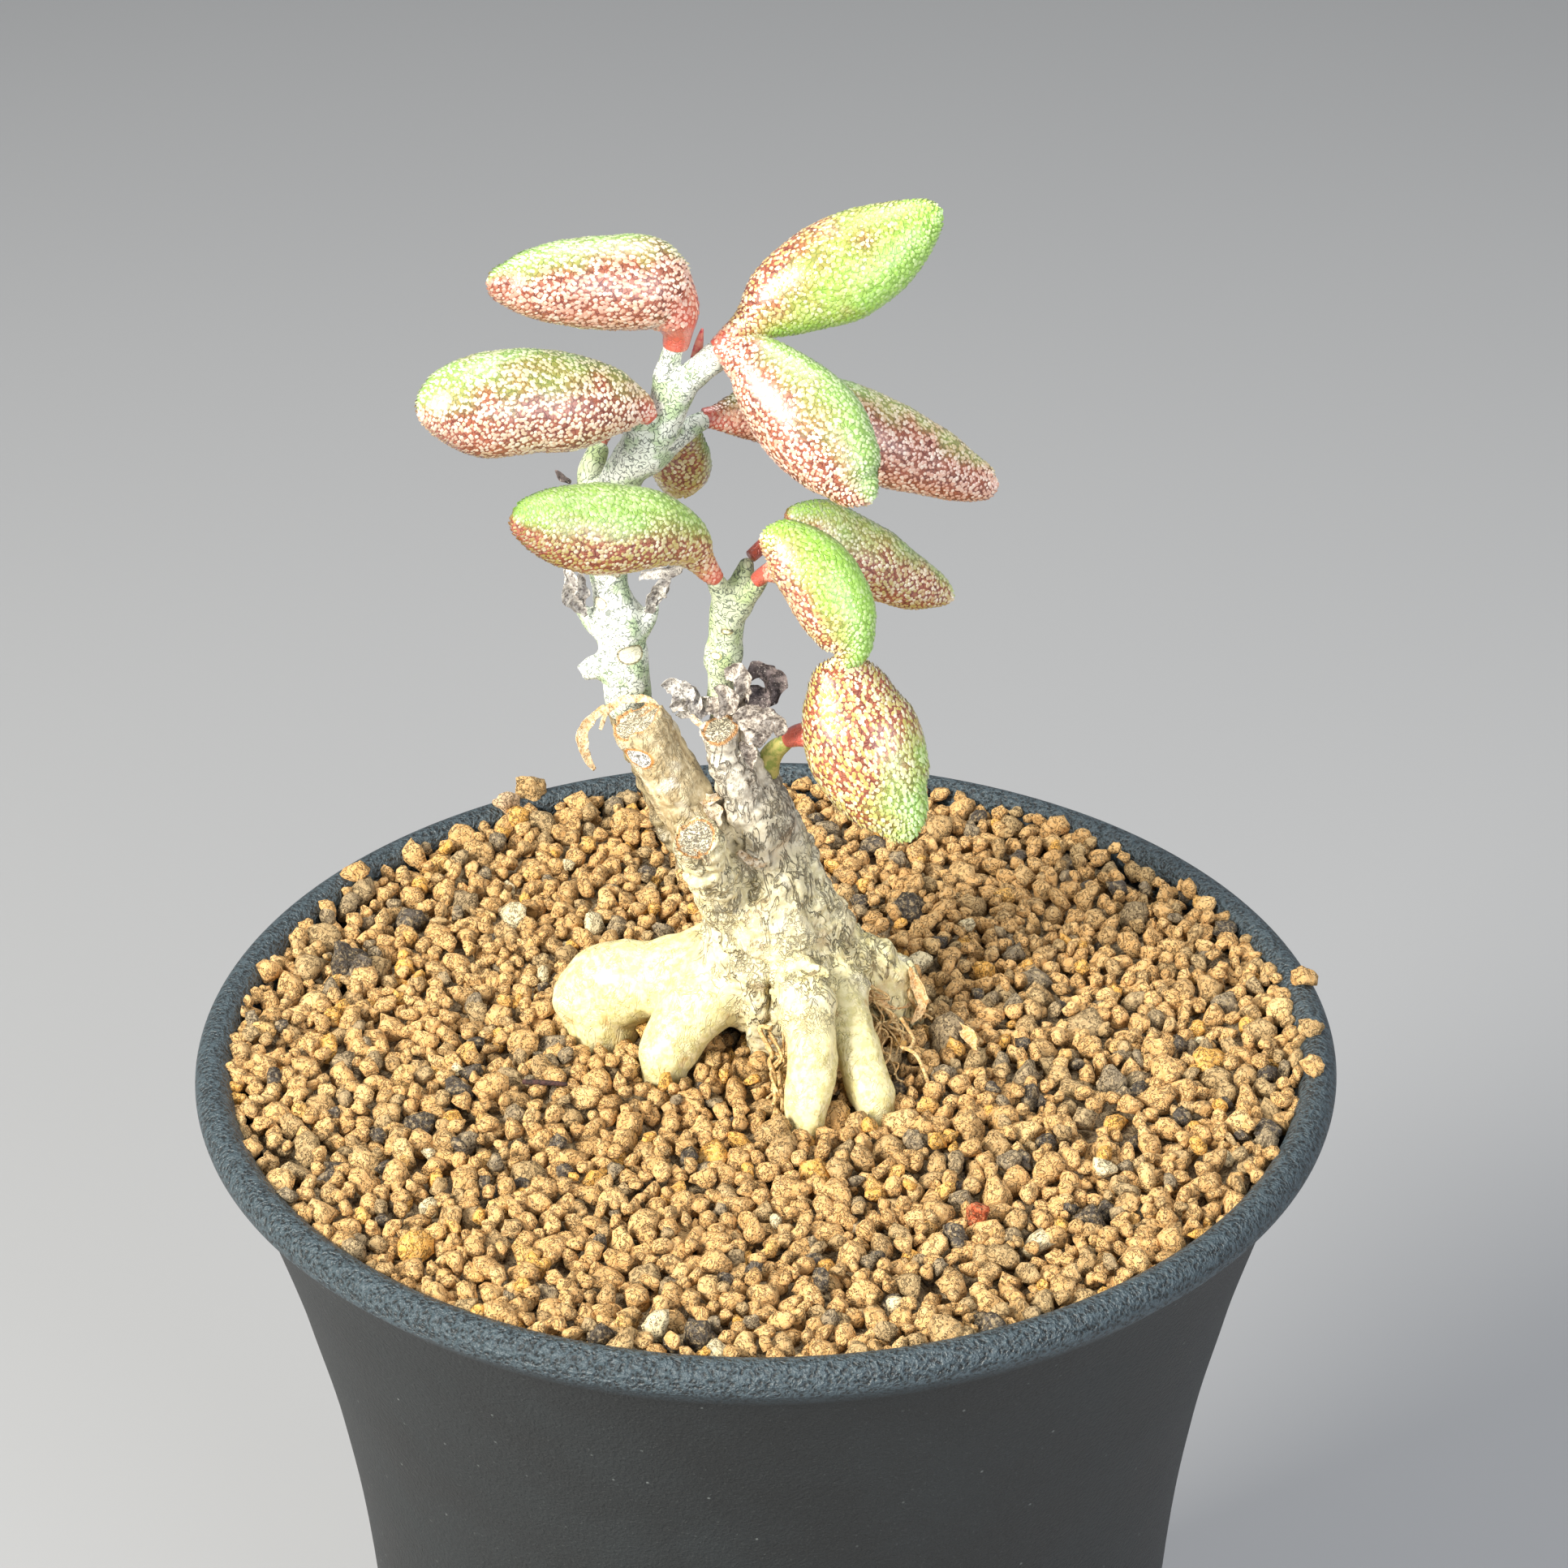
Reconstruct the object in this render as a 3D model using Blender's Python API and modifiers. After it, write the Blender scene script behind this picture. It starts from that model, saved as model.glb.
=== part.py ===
"""Potted tylecodon: a small succulent with a swollen rooty base in a round plastic pot.

Everything is given in millimetres here and built in metres. The origin is the middle
of the pot's foot, +Z is up, and the side seen from the front faces -Y.
"""

import math
import random

import bmesh
import bpy
from mathutils import Vector

MM = 0.001
GAP = 0.3

# Pot
RIM_RADIUS = 45.0
BEAD_RADIUS = 1.55
POT_HEIGHT = 100.0
WALL = 1.5
POT_SEGMENTS = 48
OUTER_WALL = [
    (42.6, 95.4), (41.0, 91.0), (38.8, 83.4), (37.6, 78.4), (35.5, 68.4),
    (33.6, 53.4), (31.8, 23.5), (30.7, 1.2),
]
FOOT_RADIUS = 30.2
FOOT_WIDTH = 2.4
FOOT_RECESS = 1.2
FLOOR_TOP = 3.0
CENTRE_HOLE_RADIUS = 5.0
DRAIN_HOLES = 6
DRAIN_RADIUS = 3.2
DRAIN_CIRCLE = 18.0

# Soil
SOIL_TOP = 97.3
SOIL_MOUND = 0.5
GRAIN_PITCH = 5.2
GRAIN_JITTER = 1.25
GRAIN_RISE = 1.25
GRAIN_CROWN = 0.95
GRAIN_SHOULDER = 0.6
GRAIN_SPREAD = 0.4
SOIL_SEED = 11

# Leaf outline: half width = sin(pi * t ** belly power) ** roundness
LEAF_ROUNDNESS = 0.52
LEAF_SIDES = 10
LEAF_RINGS = 9

# Limbs are lists of (x, y, z, radius)
TRUNK = [
    (-0.2, 1.5, 114.2, 4.0), (-0.1, 1.5, 112.5, 4.6), (0.2, 1.5, 109.9, 5.2),
    (0.5, 1.5, 107.0, 5.6), (0.5, 1.5, 104.4, 5.0), (0.9, 1.2, 101.6, 3.4),
    (0.9, 1.0, 97.0, 1.8), (0.9, 1.0, 92.0, 1.2),
]
LEFT_ROOT = [
    (-3.5, 2.6, 104.9, 3.5), (-7.9, 2.8, 103.6, 3.3), (-11.2, 3.2, 102.2, 3.5),
    (-13.0, 3.4, 100.6, 3.2), (-13.0, 3.2, 97.5, 2.9), (-12.6, 2.8, 90.5, 1.6),
]
LEFT_LOBE = [(-11.4, 3.2, 103.2, 2.7), (-13.8, 3.5, 103.0, 1.9), (-15.0, 3.0, 101.2, 1.9)]
LOWER_LEFT_ROOT = [
    (-3.6, 0.0, 104.2, 3.2), (-5.7, -1.2, 102.2, 3.0), (-6.8, -2.4, 100.2, 3.0),
    (-7.6, -3.1, 98.2, 2.5), (-8.0, -3.6, 91.0, 1.3),
]
ARCH_ROOT = [
    (-0.6, -0.6, 103.0, 2.2), (0.0, -0.9, 100.6, 1.6), (0.2, -1.0, 97.6, 1.2),
    (0.2, -1.2, 92.0, 0.8),
]
FRONT_ROOT = [
    (2.2, -2.0, 106.6, 2.2), (3.0, -4.6, 106.3, 2.1), (3.3, -6.4, 105.0, 2.15),
    (3.6, -8.2, 102.8, 2.1), (3.4, -9.6, 100.3, 1.9), (2.9, -10.4, 97.6, 1.6),
    (2.7, -10.8, 90.5, 0.9),
]
RIGHT_ROOT = [
    (4.6, -0.6, 105.0, 2.0), (6.2, -3.2, 103.4, 1.9), (7.2, -5.6, 101.6, 1.95),
    (8.1, -7.5, 99.6, 1.9), (8.8, -8.8, 97.3, 1.5), (9.2, -9.4, 91.0, 0.9),
]
SHOULDER_ROOT = [
    (3.6, 2.4, 107.4, 2.6), (6.8, 3.4, 105.2, 2.3), (9.2, 4.2, 102.8, 2.2),
    (10.3, 4.8, 100.2, 1.9), (10.8, 5.2, 97.0, 1.5), (11.0, 5.4, 91.0, 0.9),
]
SMALL_ROOT = [(4.6, -0.4, 106.6, 1.5), (6.5, -1.4, 104.9, 1.3), (7.3, -1.4, 103.4, 1.0)]
BACK_ROOT = [
    (0.6, 4.0, 105.4, 2.8), (0.4, 7.0, 102.2, 2.4), (0.2, 8.4, 98.2, 2.0),
    (0.2, 8.8, 91.0, 1.0),
]
BURIED_ROOTS = [
    LEFT_ROOT, LOWER_LEFT_ROOT, ARCH_ROOT, FRONT_ROOT, RIGHT_ROOT, SHOULDER_ROOT, BACK_ROOT,
    TRUNK,
]
LARGE_STUMP = [
    (-2.6, 0.6, 112.0, 2.5), (-4.6, 0.0, 117.4, 2.4), (-6.9, -0.5, 122.7, 2.3),
    (-9.6, -1.0, 128.2, 2.25),
]
FACING_STUMP = [(-3.0, -0.8, 112.4, 2.4), (-4.2, -3.4, 116.6, 2.15), (-5.2, -5.6, 120.4, 1.8)]
BEHIND_STUMP = [
    (-2.6, 3.4, 110.6, 2.4), (-5.8, 3.9, 115.2, 2.0), (-8.0, 4.1, 119.1, 1.9),
    (-9.6, 4.1, 123.4, 1.8), (-10.2, 4.0, 126.4, 1.8),
]
RIGHT_LIMB = [
    (1.1, 1.6, 112.6, 2.6), (0.5, 1.0, 116.8, 2.3), (-0.4, 0.5, 120.3, 2.1),
    (-1.4, 0.3, 122.9, 1.5), (-2.2, 0.3, 125.4, 1.35), (-2.9, 0.5, 127.6, 1.25),
]
THIRD_STUMP = [(-1.6, -0.6, 122.0, 1.4), (-2.5, -1.0, 125.0, 1.3), (-3.3, -1.4, 127.6, 1.25)]
GREY_LIMB = [
    (3.6, 3.0, 112.6, 2.2), (2.6, 2.5, 117.4, 1.7), (1.4, 2.0, 120.6, 1.45),
    (0.7, 1.8, 122.4, 1.2),
]
KNEE = [(0.8, -0.2, 116.0, 1.7), (-0.1, -1.2, 117.6, 1.9), (-0.3, -0.8, 119.4, 1.6)]
SHOULDER_KNOT = [(3.4, 1.0, 111.0, 2.2), (5.0, 1.4, 109.4, 1.7), (5.6, 1.8, 107.0, 1.6)]

TALL_STEM = [
    (-10.35, 4.0, 126.9, 1.8), (-10.5, 4.0, 128.6, 1.9), (-10.6, 4.0, 130.5, 1.9),
    (-10.7, 4.0, 133.0, 1.75), (-10.7, 4.0, 134.8, 2.1), (-11.2, 4.0, 136.7, 1.8),
    (-11.5, 4.0, 138.6, 1.8), (-11.6, 3.8, 140.9, 1.8), (-11.3, 3.6, 143.3, 1.8),
    (-10.4, 3.3, 145.8, 1.7), (-9.0, 2.9, 148.4, 1.7), (-7.5, 2.5, 150.9, 1.65),
    (-6.0, 2.2, 152.9, 1.5), (-4.8, 2.0, 154.8, 1.35), (-3.6, 1.7, 156.2, 1.2),
]
TALL_STEM_ARMS = [
    [(-7.7, 2.4, 151.1, 1.1), (-7.0, 2.2, 153.7, 1.0), (-6.2, 2.0, 156.8, 0.75)],
    [(-7.2, 2.8, 149.6, 1.2), (-5.9, 3.4, 150.0, 1.0), (-4.9, 3.8, 150.4, 0.75)],
    [(-4.6, 2.5, 154.6, 1.0), (-3.4, 2.8, 156.3, 0.8)],
    [(-9.1, 2.6, 148.4, 0.9), (-8.8, 1.9, 150.2, 0.75), (-8.6, 1.4, 151.2, 0.65)],
    [(-7.8, 3.4, 149.4, 0.9), (-7.2, 5.4, 149.0, 0.65)],
    [(-11.4, 4.4, 143.6, 1.1), (-12.4, 5.2, 145.2, 0.9), (-12.4, 5.8, 146.7, 0.7)],
    [(-11.6, 4.0, 134.6, 1.0), (-13.2, 4.0, 134.3, 0.6)],
    [(-10.0, 4.0, 135.2, 1.0), (-8.6, 4.0, 135.5, 0.6)],
    [(-11.2, 4.0, 129.7, 1.0), (-13.2, 3.8, 130.3, 0.75), (-14.3, 3.8, 129.8, 0.55)],
]
LOW_STEM = [
    (-3.15, 0.55, 128.5, 1.15), (-3.2, 0.6, 129.8, 1.0), (-3.1, 0.7, 131.2, 1.1),
    (-3.0, 0.7, 132.4, 1.45), (-2.8, 0.7, 134.0, 1.3), (-2.6, 0.6, 135.8, 1.4),
    (-2.3, 0.5, 137.4, 1.35),
]
LOW_STEM_ARMS = [
    [(-2.6, 0.2, 137.0, 1.0), (-3.2, -0.2, 138.8, 0.75), (-3.4, -0.5, 139.4, 0.65)],
    [(-2.0, 0.7, 137.0, 1.0), (-1.3, 1.0, 139.2, 0.75), (-1.1, 1.1, 140.0, 0.6)],
    [(-1.8, 0.2, 137.0, 1.0), (-0.5, -0.4, 139.0, 0.7), (-0.1, -0.6, 139.5, 0.55)],
]
SIDE_SHOOT = [(1.0, 1.2, 123.4, 0.95), (1.2, 0.9, 124.8, 0.95), (1.6, 0.5, 125.5, 0.7)]
GROWTH_TIP = [(-4.7, 4.0, 156.2, 0.55), (-4.3, 4.0, 157.0, 0.5), (-3.9, 3.8, 158.4, 0.3)]

# Wizened leaves and bark: (x, y, z, radius) paths of thin bent strips, and their flatness
DRIED = {
    "dried_leaf_left": [
        (-13.1, 1.4, 135.0, 0.6), (-14.0, 1.6, 134.7, 0.7), (-14.3, 2.0, 136.6, 0.75),
        (-14.7, 2.2, 138.8, 0.6),
    ],
    "dried_leaf_right": [
        (-8.3, 1.2, 135.0, 0.6), (-7.5, 1.6, 137.0, 0.75), (-7.6, 1.5, 138.6, 0.7),
        (-5.9, 1.4, 139.5, 0.6),
    ],
    "dried_leaf_curl": [
        (-4.9, -0.4, 128.9, 0.8), (-6.3, -0.8, 130.4, 1.1), (-7.2, -0.4, 129.6, 1.0),
    ],
    "dried_leaf_fold": [
        (-2.9, -1.8, 131.8, 0.7), (-1.6, -1.7, 132.2, 0.8), (-1.4, -1.8, 130.9, 0.8),
        (-1.7, -2.0, 129.6, 0.7),
    ],
    "dried_leaf_dark": [
        (-0.9, 0.6, 129.4, 0.8), (-0.3, 0.9, 131.4, 1.0), (0.8, 0.6, 130.2, 0.8),
    ],
    "dried_leaf_cup": [
        (-1.5, -2.7, 127.9, 0.9), (-0.5, -2.6, 129.1, 1.1), (0.7, -2.2, 128.0, 1.0),
        (0.6, -2.0, 126.9, 0.8),
    ],
    "bark_strip": [
        (-11.5, 0.6, 128.6, 0.6), (-12.9, 0.3, 127.3, 0.6), (-13.6, 0.0, 126.1, 0.6),
        (-13.2, 0.0, 124.6, 0.55), (-12.7, 0.2, 123.3, 0.5),
    ],
}
STRIP_HALF_THICKNESS = 0.34

# Each leaf: base, tip, the way its broad side faces, half width, half thickness,
# where it is widest (share of its length), how far its middle bows, and its stalk.
TOWARDS_VIEWER = (0.0, -0.88, 0.48)
LEAVES = {
    "leaf_top_left": dict(
        base=(-5.5, 2.2, 162.3), tip=(-19.1, -2.0, 163.9), face=(0.0, -0.7, 0.7),
        half_width=3.3, half_depth=2.7, widest=0.38, bow=0.3,
        stalk=[(-6.1, 2.0, 157.4, 0.65), (-6.1, 1.9, 159.0, 0.8), (-6.6, 1.8, 161.4, 1.2)]),
    "leaf_top_right": dict(
        base=(-2.6, 3.4, 157.2), tip=(13.1, 6.5, 165.3), face=TOWARDS_VIEWER,
        half_width=3.5, half_depth=2.5, widest=0.6, bow=0.4,
        stalk=[(-3.0, 2.9, 156.9, 0.7), (-1.6, 3.1, 158.0, 0.95)]),
    "leaf_front": dict(
        base=(-2.9, 1.0, 157.2), tip=(7.5, -6.0, 148.8), face=TOWARDS_VIEWER,
        half_width=3.4, half_depth=2.5, widest=0.62, bow=0.3,
        stalk=[(-3.2, 1.2, 156.9, 0.75), (-2.2, 0.9, 156.5, 0.9)]),
    "leaf_back_right": dict(
        base=(-1.9, 5.6, 150.1), tip=(17.9, 10.0, 142.7), face=(0.1, -0.7, 0.7),
        half_width=2.9, half_depth=2.3, widest=0.55, bow=0.3,
        stalk=[(-4.4, 4.1, 150.5, 0.65), (-2.8, 4.9, 150.3, 0.8), (0.0, 6.0, 149.5, 1.0)]),
    "leaf_left": dict(
        base=(-8.9, 0.8, 153.0), tip=(-24.4, -4.5, 154.5), face=(0.0, -0.8, 0.6),
        half_width=3.9, half_depth=2.9, widest=0.58, bow=0.3,
        stalk=[(-8.6, 1.1, 151.7, 0.6), (-9.2, 0.8, 152.4, 0.8), (-10.4, 0.6, 152.9, 1.1)]),
    "leaf_behind_stem": dict(
        base=(-6.6, 7.0, 148.5), tip=(-5.9, 9.0, 142.2), face=(0.0, -0.95, 0.3),
        half_width=2.3, half_depth=1.9, widest=0.55, bow=0.3,
        stalk=[(-7.1, 6.0, 148.9, 0.55), (-6.7, 6.9, 148.4, 0.7), (-6.5, 7.5, 147.2, 0.8)]),
    "leaf_hidden": dict(
        base=(-10.8, 7.2, 148.4), tip=(-15.2, 9.6, 150.2), face=(0.0, -0.6, 0.8),
        half_width=1.8, half_depth=1.4, widest=0.55, bow=0.2,
        stalk=[(-12.1, 6.5, 147.5, 0.5), (-11.6, 7.2, 148.3, 0.55), (-12.0, 7.9, 148.9, 0.7)]),
    "leaf_low_left": dict(
        base=(-4.3, -1.6, 141.2), tip=(-17.6, -8.0, 148.4), face=(0.0, -0.8, 0.6),
        half_width=3.3, half_depth=2.7, widest=0.56, bow=0.6,
        stalk=[(-3.6, -0.8, 140.0, 0.6), (-4.4, -1.6, 141.4, 0.8), (-6.0, -2.2, 142.4, 1.1)]),
    "leaf_low_right": dict(
        base=(0.7, -2.2, 144.2), tip=(6.9, -6.0, 135.4), face=TOWARDS_VIEWER,
        half_width=3.2, half_depth=2.5, widest=0.56, bow=0.3,
        stalk=[(0.2, -0.9, 140.1, 0.5), (1.2, -1.8, 141.3, 0.7), (2.6, -2.6, 141.0, 0.9)]),
    "leaf_low_back": dict(
        base=(1.8, 4.0, 143.1), tip=(14.5, 8.0, 134.4), face=(0.0, -0.8, 0.6),
        half_width=2.9, half_depth=2.1, widest=0.55, bow=0.3,
        stalk=[(-0.8, 1.5, 140.5, 0.5), (1.0, 3.1, 141.3, 0.6), (4.0, 4.6, 141.2, 0.9)]),
    "leaf_side": dict(
        base=(5.5, 0.3, 132.4), tip=(10.6, -4.5, 119.8), face=TOWARDS_VIEWER,
        half_width=4.7, half_depth=3.2, widest=0.5, bow=0.3,
        stalk=[(1.9, 0.3, 125.9, 0.6), (3.0, -0.4, 126.7, 0.75), (5.0, -1.2, 127.0, 1.0)]),
}

# Colour (sRGB), roughness
LOOKS = {
    "pot": ((0.13, 0.14, 0.15), 0.55),
    "soil": ((0.62, 0.42, 0.24), 0.9),
    "caudex": ((0.78, 0.72, 0.55), 0.7),
    "stem": ((0.60, 0.66, 0.55), 0.65),
    "shoot": ((0.66, 0.68, 0.38), 0.6),
    "leaf": ((0.42, 0.55, 0.24), 0.45),
    "tip": ((0.80, 0.22, 0.20), 0.5),
    "dried": ((0.40, 0.37, 0.34), 0.85),
    "bark": ((0.76, 0.60, 0.38), 0.8),
}


def clear_scene():
    """Remove whatever the file opened with."""
    for obj in list(bpy.data.objects):
        bpy.data.objects.remove(obj, do_unlink=True)


def new_collection(name):
    """A collection linked to the scene."""
    collection = bpy.data.collections.new(name)
    bpy.context.scene.collection.children.link(collection)
    return collection


def linear(channel):
    """One sRGB channel as a linear value."""
    return channel / 12.92 if channel <= 0.04045 else ((channel + 0.055) / 1.055) ** 2.4


def material_for(kind, name):
    """A Principled material of one kind of surface, named for its piece."""
    colour, roughness = LOOKS[kind]
    material = bpy.data.materials.new(name)
    material.use_nodes = True
    shader = material.node_tree.nodes["Principled BSDF"]
    shader.inputs["Base Color"].default_value = (*[linear(value) for value in colour], 1.0)
    shader.inputs["Roughness"].default_value = roughness
    return material


def add_object(name, mesh, kind, collection):
    """Put a mesh in the scene as one named piece."""
    obj = bpy.data.objects.new(name, mesh)
    collection.objects.link(obj)
    if kind is not None:
        mesh.materials.clear()
        mesh.materials.append(material_for(kind, name))
    mesh.shade_smooth()
    return obj


def evaluated_copy(obj):
    """The object's evaluated mesh in world space, its loose caps welded on."""
    graph = bpy.context.evaluated_depsgraph_get()
    mesh = bpy.data.meshes.new_from_object(obj.evaluated_get(graph))
    mesh.transform(obj.matrix_world)
    cage = bmesh.new()
    cage.from_mesh(mesh)
    bmesh.ops.remove_doubles(cage, verts=cage.verts, dist=0.002 * MM)
    bmesh.ops.recalc_face_normals(cage, faces=cage.faces)
    cage.to_mesh(mesh)
    cage.free()
    return mesh


def limb_mesh(points, extra=0.0, level=3, smooth=3, flat=None):
    """A tapering limb through (x, y, z, radius) points, round or a flat strip."""
    curve = bpy.data.curves.new("limb", "CURVE")
    curve.dimensions = "3D"
    curve.resolution_u = smooth
    curve.use_fill_caps = True
    profile = None
    if flat is None:
        curve.bevel_depth = MM
        curve.bevel_resolution = level
    else:
        profile = strip_profile(flat)
        curve.bevel_mode = "OBJECT"
        curve.bevel_object = profile
    spline = curve.splines.new("BEZIER")
    spline.bezier_points.add(len(points) - 1)
    for knot, (x, y, z, radius) in zip(spline.bezier_points, points):
        knot.co = Vector((x, y, z)) * MM
        knot.radius = radius + extra
        knot.handle_left_type = "AUTO"
        knot.handle_right_type = "AUTO"
    obj = bpy.data.objects.new("limb", curve)
    bpy.context.scene.collection.objects.link(obj)
    bpy.context.view_layer.update()
    mesh = evaluated_copy(obj)
    bpy.data.objects.remove(obj)
    if profile is not None:
        bpy.data.objects.remove(profile)
    return mesh


def strip_profile(flatness):
    """The oval section of a strip: a unit half width, and its half thickness."""
    curve = bpy.data.curves.new("section", "CURVE")
    curve.dimensions = "2D"
    spline = curve.splines.new("POLY")
    sides = 8
    spline.points.add(sides - 1)
    for index, point in enumerate(spline.points):
        angle = 2 * math.pi * index / sides
        point.co = (math.cos(angle) * MM, math.sin(angle) * flatness * MM, 0.0, 1.0)
    spline.use_cyclic_u = True
    obj = bpy.data.objects.new("section", curve)
    bpy.context.scene.collection.objects.link(obj)
    return obj


def joined(meshes):
    """Several meshes as one, still separate bodies."""
    cage = bmesh.new()
    for mesh in meshes:
        cage.from_mesh(mesh)
    result = bpy.data.meshes.new("joined")
    cage.to_mesh(result)
    cage.free()
    return result


def grown(name, kind, limbs, voxel, triangles, collection):
    """Limbs fused the way wood grows: remeshed to one skin, softened, then thinned out.

    Softening shrinks the skin by about half a voxel, so the limbs start that much thicker.
    """
    skin = joined([limb_mesh(limb, extra=voxel / 2) for limb in limbs])
    body = add_object(name, skin, kind, collection)
    remesh = body.modifiers.new("fuse", "REMESH")
    remesh.mode = "VOXEL"
    remesh.voxel_size = voxel * MM
    soften = body.modifiers.new("soften", "SMOOTH")
    soften.factor = 0.5
    soften.iterations = 3
    bpy.context.view_layer.update()
    graph = bpy.context.evaluated_depsgraph_get()
    fine = body.evaluated_get(graph).to_mesh()
    fine.calc_loop_triangles()
    count = len(fine.loop_triangles)
    body.evaluated_get(graph).to_mesh_clear()
    thin = body.modifiers.new("thin", "DECIMATE")
    thin.ratio = min(1.0, triangles / count)
    return body


def turned(name, profile, kind, collection):
    """A closed outline of (radius, height) points turned about the vertical axis."""
    mesh = bpy.data.meshes.new(name)
    cage = bmesh.new()
    verts = [cage.verts.new((radius * MM, 0.0, height * MM)) for radius, height in profile]
    for here, there in zip(verts, verts[1:] + verts[:1]):
        cage.edges.new((here, there))
    cage.to_mesh(mesh)
    cage.free()
    obj = add_object(name, mesh, kind, collection)
    screw = obj.modifiers.new("turn", "SCREW")
    screw.axis = "Z"
    screw.steps = POT_SEGMENTS
    screw.render_steps = POT_SEGMENTS
    screw.use_merge_vertices = True
    screw.merge_threshold = 0.00001
    screw.use_smooth_shade = True
    return obj


def cut(obj, cutter, operation="DIFFERENCE"):
    """Cut one object by another with an exact Boolean."""
    boolean = obj.modifiers.new("cut", "BOOLEAN")
    boolean.operation = operation
    boolean.solver = "EXACT"
    boolean.object = cutter


def hide_cutter(obj):
    """Mark an object as a cutter only."""
    obj.hide_render = True
    obj.display_type = "WIRE"


def bead_arc(start, end, steps):
    """Points on the rim's rolled bead between two angles in degrees."""
    middle = (RIM_RADIUS - BEAD_RADIUS, POT_HEIGHT - BEAD_RADIUS)
    angles = [math.radians(start + (end - start) * step / steps) for step in range(steps + 1)]
    return [(middle[0] + BEAD_RADIUS * math.cos(a), middle[1] + BEAD_RADIUS * math.sin(a))
            for a in angles]


def inner_wall():
    """The pot's inner wall, from the floor up."""
    wall = [(radius - WALL, height) for radius, height in OUTER_WALL if height > FLOOR_TOP]
    return [(OUTER_WALL[-1][0] - WALL, FLOOR_TOP)] + wall[::-1]


def build_pot(collection, cutters):
    """The pot: rolled rim, flared wall, foot ring, floor and drain holes."""
    foot = [(FOOT_RADIUS, 0.0), (FOOT_RADIUS - FOOT_WIDTH, 0.0)]
    recess = [(FOOT_RADIUS - FOOT_WIDTH - 0.4, FOOT_RECESS), (CENTRE_HOLE_RADIUS, FOOT_RECESS)]
    floor = [(CENTRE_HOLE_RADIUS, FLOOR_TOP)]
    profile = bead_arc(180, -45, 5) + OUTER_WALL + foot + recess + floor + inner_wall()
    pot = turned("pot", profile, "pot", collection)
    for index in range(DRAIN_HOLES):
        angle = 2 * math.pi * index / DRAIN_HOLES
        cage = bmesh.new()
        bmesh.ops.create_cone(
            cage, cap_ends=True, segments=12, radius1=DRAIN_RADIUS * MM,
            radius2=DRAIN_RADIUS * MM, depth=4 * FLOOR_TOP * MM)
        mesh = bpy.data.meshes.new("drain")
        cage.to_mesh(mesh)
        cage.free()
        drill = add_object(f"drain_drill_{index + 1}", mesh, None, cutters)
        drill.location = (DRAIN_CIRCLE * math.cos(angle) * MM,
                          DRAIN_CIRCLE * math.sin(angle) * MM, 0.0)
        hide_cutter(drill)
        cut(pot, drill)
    return pot


def grain_height(draw, x, y):
    """The height of one grain's crown at a place on the gently mounded soil."""
    mound = SOIL_MOUND * (1 - (x * x + y * y) / RIM_RADIUS ** 2)
    return SOIL_TOP + mound + draw.uniform(-GRAIN_SPREAD, GRAIN_SPREAD)


def grain_field():
    """Soil surface: a jittered six-sided lattice, one raised lump to each cell."""
    draw = random.Random(SOIL_SEED)
    reach = int(RIM_RADIUS / GRAIN_PITCH) + 4
    centres = {}
    for column in range(-2 * reach, 2 * reach + 1):
        for row in range(-reach - 2, reach + 3):
            x = GRAIN_PITCH * (column + 0.5 * row) + draw.uniform(-1, 1) * GRAIN_JITTER
            y = GRAIN_PITCH * math.sqrt(0.75) * row + draw.uniform(-1, 1) * GRAIN_JITTER
            centres[(column, row)] = (x, y, grain_height(draw, x, y))
    return centres


def soil_cells(centres):
    """The lattice cells inside the rim, each with the six neighbours round it."""
    around = [(1, 0), (0, 1), (-1, 1), (-1, 0), (0, -1), (1, -1)]
    for (column, row), centre in centres.items():
        neighbours = [(column + dc, row + dr) for dc, dr in around]
        if not all(cell in centres for cell in neighbours):
            continue
        if math.hypot(centre[0], centre[1]) < RIM_RADIUS + GRAIN_PITCH:
            yield (column, row), centre, neighbours


def soil_mesh():
    """The grains' surface with a deep skirt below it, as one closed body."""
    centres = grain_field()
    cage = bmesh.new()
    corners = {}
    for cell, centre, neighbours in soil_cells(centres):
        outer = []
        for here, there in zip(neighbours, neighbours[1:] + neighbours[:1]):
            key = frozenset((cell, here, there))
            if key not in corners:
                trio = [centres[item] for item in key]
                x, y, z = [sum(values) / 3 for values in zip(*trio)]
                corners[key] = cage.verts.new(Vector((x, y, z - GRAIN_RISE)) * MM)
            outer.append(corners[key])
        crown = cage.verts.new(Vector(centre) * MM)
        ring = []
        for corner in outer:
            shoulder = crown.co.lerp(corner.co, GRAIN_SHOULDER)
            shoulder.z = crown.co.z + (corner.co.z - crown.co.z) * (1 - GRAIN_CROWN) * 4
            ring.append(cage.verts.new(shoulder))
        for index in range(6):
            after = (index + 1) % 6
            cage.faces.new((outer[index], outer[after], ring[after]))
            cage.faces.new((outer[index], ring[after], ring[index]))
            cage.faces.new((ring[index], ring[after], crown))
    skirt(cage)
    mesh = bpy.data.meshes.new("soil")
    cage.to_mesh(mesh)
    cage.free()
    return mesh


def skirt(cage):
    """Close an open surface downwards with straight sides and a flat bottom."""
    edge = [item for item in cage.edges if item.is_boundary]
    made = bmesh.ops.extrude_edge_only(cage, edges=edge)["geom"]
    for vert in made:
        if isinstance(vert, bmesh.types.BMVert):
            vert.co.z = -10 * MM
    rim = [item for item in cage.edges if item.is_boundary]
    bmesh.ops.contextual_create(cage, geom=rim)
    bmesh.ops.recalc_face_normals(cage, faces=cage.faces)


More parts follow.
